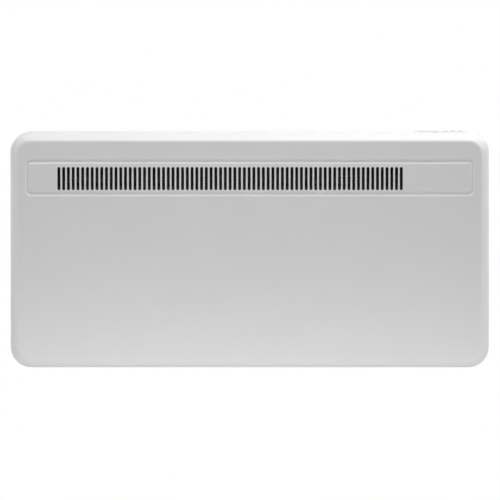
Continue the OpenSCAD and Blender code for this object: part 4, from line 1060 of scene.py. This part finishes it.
# Each lamp: its place, the point it looks at, its width and height, and the setting for its power
LAMPS = {
    "overhead_lamp": ((0.24, -0.45, 1.80), (0.0, -0.1, 0.0), (2.4, 0.8), "overhead_power"),
    "strip_lamp": ((0.10, -0.55, 0.75), (0.0, -0.1, 0.1), (2.0, 0.3), "strip_power"),
    "left_lamp": ((-2.4, -0.6, 0.3), (0.0, -0.1, 0.0), (1.0, 1.0), "left_power"),
    "right_lamp": ((2.4, -0.6, 0.3), (0.0, -0.1, 0.0), (1.0, 1.0), "right_power"),
    "low_lamp": ((0.0, -0.42, -0.52), (0.0, -0.1, -0.18), (1.4, 0.25), "low_power"),
    "front_lamp": ((0.0, -1.60, -0.35), (0.0, -0.1, -0.15), (2.0, 0.40), "front_power"),
    "back_lamp": ((0.0, 2.4, 0.0), (0.0, 0.0, 0.0), (4.4, 0.36), "back_power"),
}


# How far the floor reaches each way, in metres
FLOOR_REACH = 60
# Share of white that the floor shows near the heater, and where that rises to all of it, in shadow reaches
NEAR_SHARE = 0.6
FADE_START, FADE_END = 0.6, 1.5


class HEATER_OT_stage(bpy.types.Operator):
    """Builds the floor, the surrounding light and the lamps"""

    bl_idname = "heater.stage"
    bl_label = "Floor and lamps"

    def execute(self, context):
        stage = settings("heater_stage")
        self.build_floor(context, stage)
        self.light_surround(context, stage)
        for name, (place, aim, size, power) in LAMPS.items():
            self.add_lamp(context, name, place, aim, size, getattr(stage, power))
        context.scene.view_settings.view_transform = "Standard"
        return {"FINISHED"}

    def build_floor(self, context, stage):
        """A wide pale floor that shows the heater's shadow near it and turns white further off."""
        mesh = bmesh.new()
        bmesh.ops.create_grid(mesh, x_segments=4, y_segments=4, size=FLOOR_REACH)
        data = bpy.data.meshes.new("floor")
        mesh.to_mesh(data)
        mesh.free()
        floor = bpy.data.objects.new("floor", data)
        floor.location.z = CAD_LOW.z - stage.floor_drop
        context.scene.collection.objects.link(floor)
        material, tree, shader = new_material("floor")
        vary_colour(tree, shader, grain(tree, 3, detail=2), tuple(stage.floor_colour), 0.99, 1.01)
        shader.inputs["Roughness"].default_value = 0.9
        shader.inputs["Specular IOR Level"].default_value = 0.1
        share = self.far_share(tree, stage.shadow_reach)
        seen = pale_surround(tree, shader.outputs["BSDF"], share, tree.nodes.new("ShaderNodeEmission"))
        tree.links.new(seen, tree.nodes["Material Output"].inputs["Surface"])
        data.materials.append(material)

    def far_share(self, tree, reach):
        """Share of white: part of it near the heater, and all of it beyond FADE_END times reach."""
        place = tree.nodes.new("ShaderNodeTexCoord")
        away = tree.nodes.new("ShaderNodeVectorMath")
        away.operation = "LENGTH"
        tree.links.new(place.outputs["Object"], away.inputs[0])
        ramp = tree.nodes.new("ShaderNodeMapRange")
        ramp.interpolation_type = "SMOOTHSTEP"
        limits = {"From Min": FADE_START * reach, "From Max": FADE_END * reach, "To Min": NEAR_SHARE}
        for socket, value in limits.items():
            ramp.inputs[socket].default_value = value
        tree.links.new(away.outputs["Value"], ramp.inputs["Value"])
        return ramp.outputs["Result"]

    def light_surround(self, context, stage):
        """Even light from all round, which the camera sees as white."""
        world = bpy.data.worlds.new("surround")
        world.use_nodes = True
        tree = world.node_tree
        even = tree.nodes["Background"]
        even.inputs["Color"].default_value = (1, 1, 1, 1)
        even.inputs["Strength"].default_value = stage.sky_level
        seen = pale_surround(tree, even.outputs["Background"], None, tree.nodes.new("ShaderNodeBackground"))
        tree.links.new(seen, tree.nodes["World Output"].inputs["Surface"])
        context.scene.world = world

    def add_lamp(self, context, name, place, aim, size, power):
        """A soft rectangular lamp that looks at a point and isn't seen itself."""
        data = bpy.data.lights.new(name, "AREA")
        data.shape = "RECTANGLE"
        data.size, data.size_y = size
        data.energy = power
        lamp = bpy.data.objects.new(name, data)
        lamp.visible_camera = False
        lamp.location = place
        lamp.rotation_euler = (Vector(aim) - Vector(place)).to_track_quat("-Z", "Y").to_euler()
        context.scene.collection.objects.link(lamp)


OPERATORS = (
    HEATER_OT_camera,
    HEATER_OT_case_finish,
    HEATER_OT_duct_finish,
    HEATER_OT_hardware_finish,
    HEATER_OT_plastic_finish,
    HEATER_OT_key_marks,
    HEATER_OT_display,
    HEATER_OT_standby_light,
    HEATER_OT_board_parts,
    HEATER_OT_metal_parts,
    HEATER_OT_stage,
)
GROUPS = {"heater_coat": HeaterCoat, "heater_marks": HeaterMarks, "heater_stage": HeaterStage}


class HEATER_PT_sidebar(bpy.types.Panel):
    """Lists the heater's settings and operators"""

    bl_idname = "HEATER_PT_sidebar"
    bl_label = "Panel heater"
    bl_space_type = "VIEW_3D"
    bl_region_type = "UI"
    bl_category = "Heater"

    def draw(self, context):
        for name, group in GROUPS.items():
            box = self.layout.box()
            for key in group.__annotations__:
                box.prop(getattr(context.scene, name), key)
        for operator in OPERATORS:
            self.layout.operator(operator.bl_idname)


def register():
    """Registers the settings, operators and panel."""
    for cls in (*GROUPS.values(), *OPERATORS, HEATER_PT_sidebar):
        bpy.utils.register_class(cls)
    for name, group in GROUPS.items():
        setattr(bpy.types.Scene, name, PointerProperty(type=group))


def unregister():
    """Takes them off again."""
    for name in GROUPS:
        delattr(bpy.types.Scene, name)
    for cls in (HEATER_PT_sidebar, *reversed(OPERATORS), *GROUPS.values()):
        bpy.utils.unregister_class(cls)


def main():
    """Dresses the heater."""
    register()
    bpy.ops.heater.camera()
    bpy.ops.heater.case_finish()
    bpy.ops.heater.duct_finish()
    bpy.ops.heater.hardware_finish()
    bpy.ops.heater.plastic_finish()
    bpy.ops.heater.key_marks()
    bpy.ops.heater.display()
    bpy.ops.heater.standby_light()
    bpy.ops.heater.board_parts()
    bpy.ops.heater.metal_parts()
    bpy.ops.heater.stage()


if __name__ == "__main__":
    main()
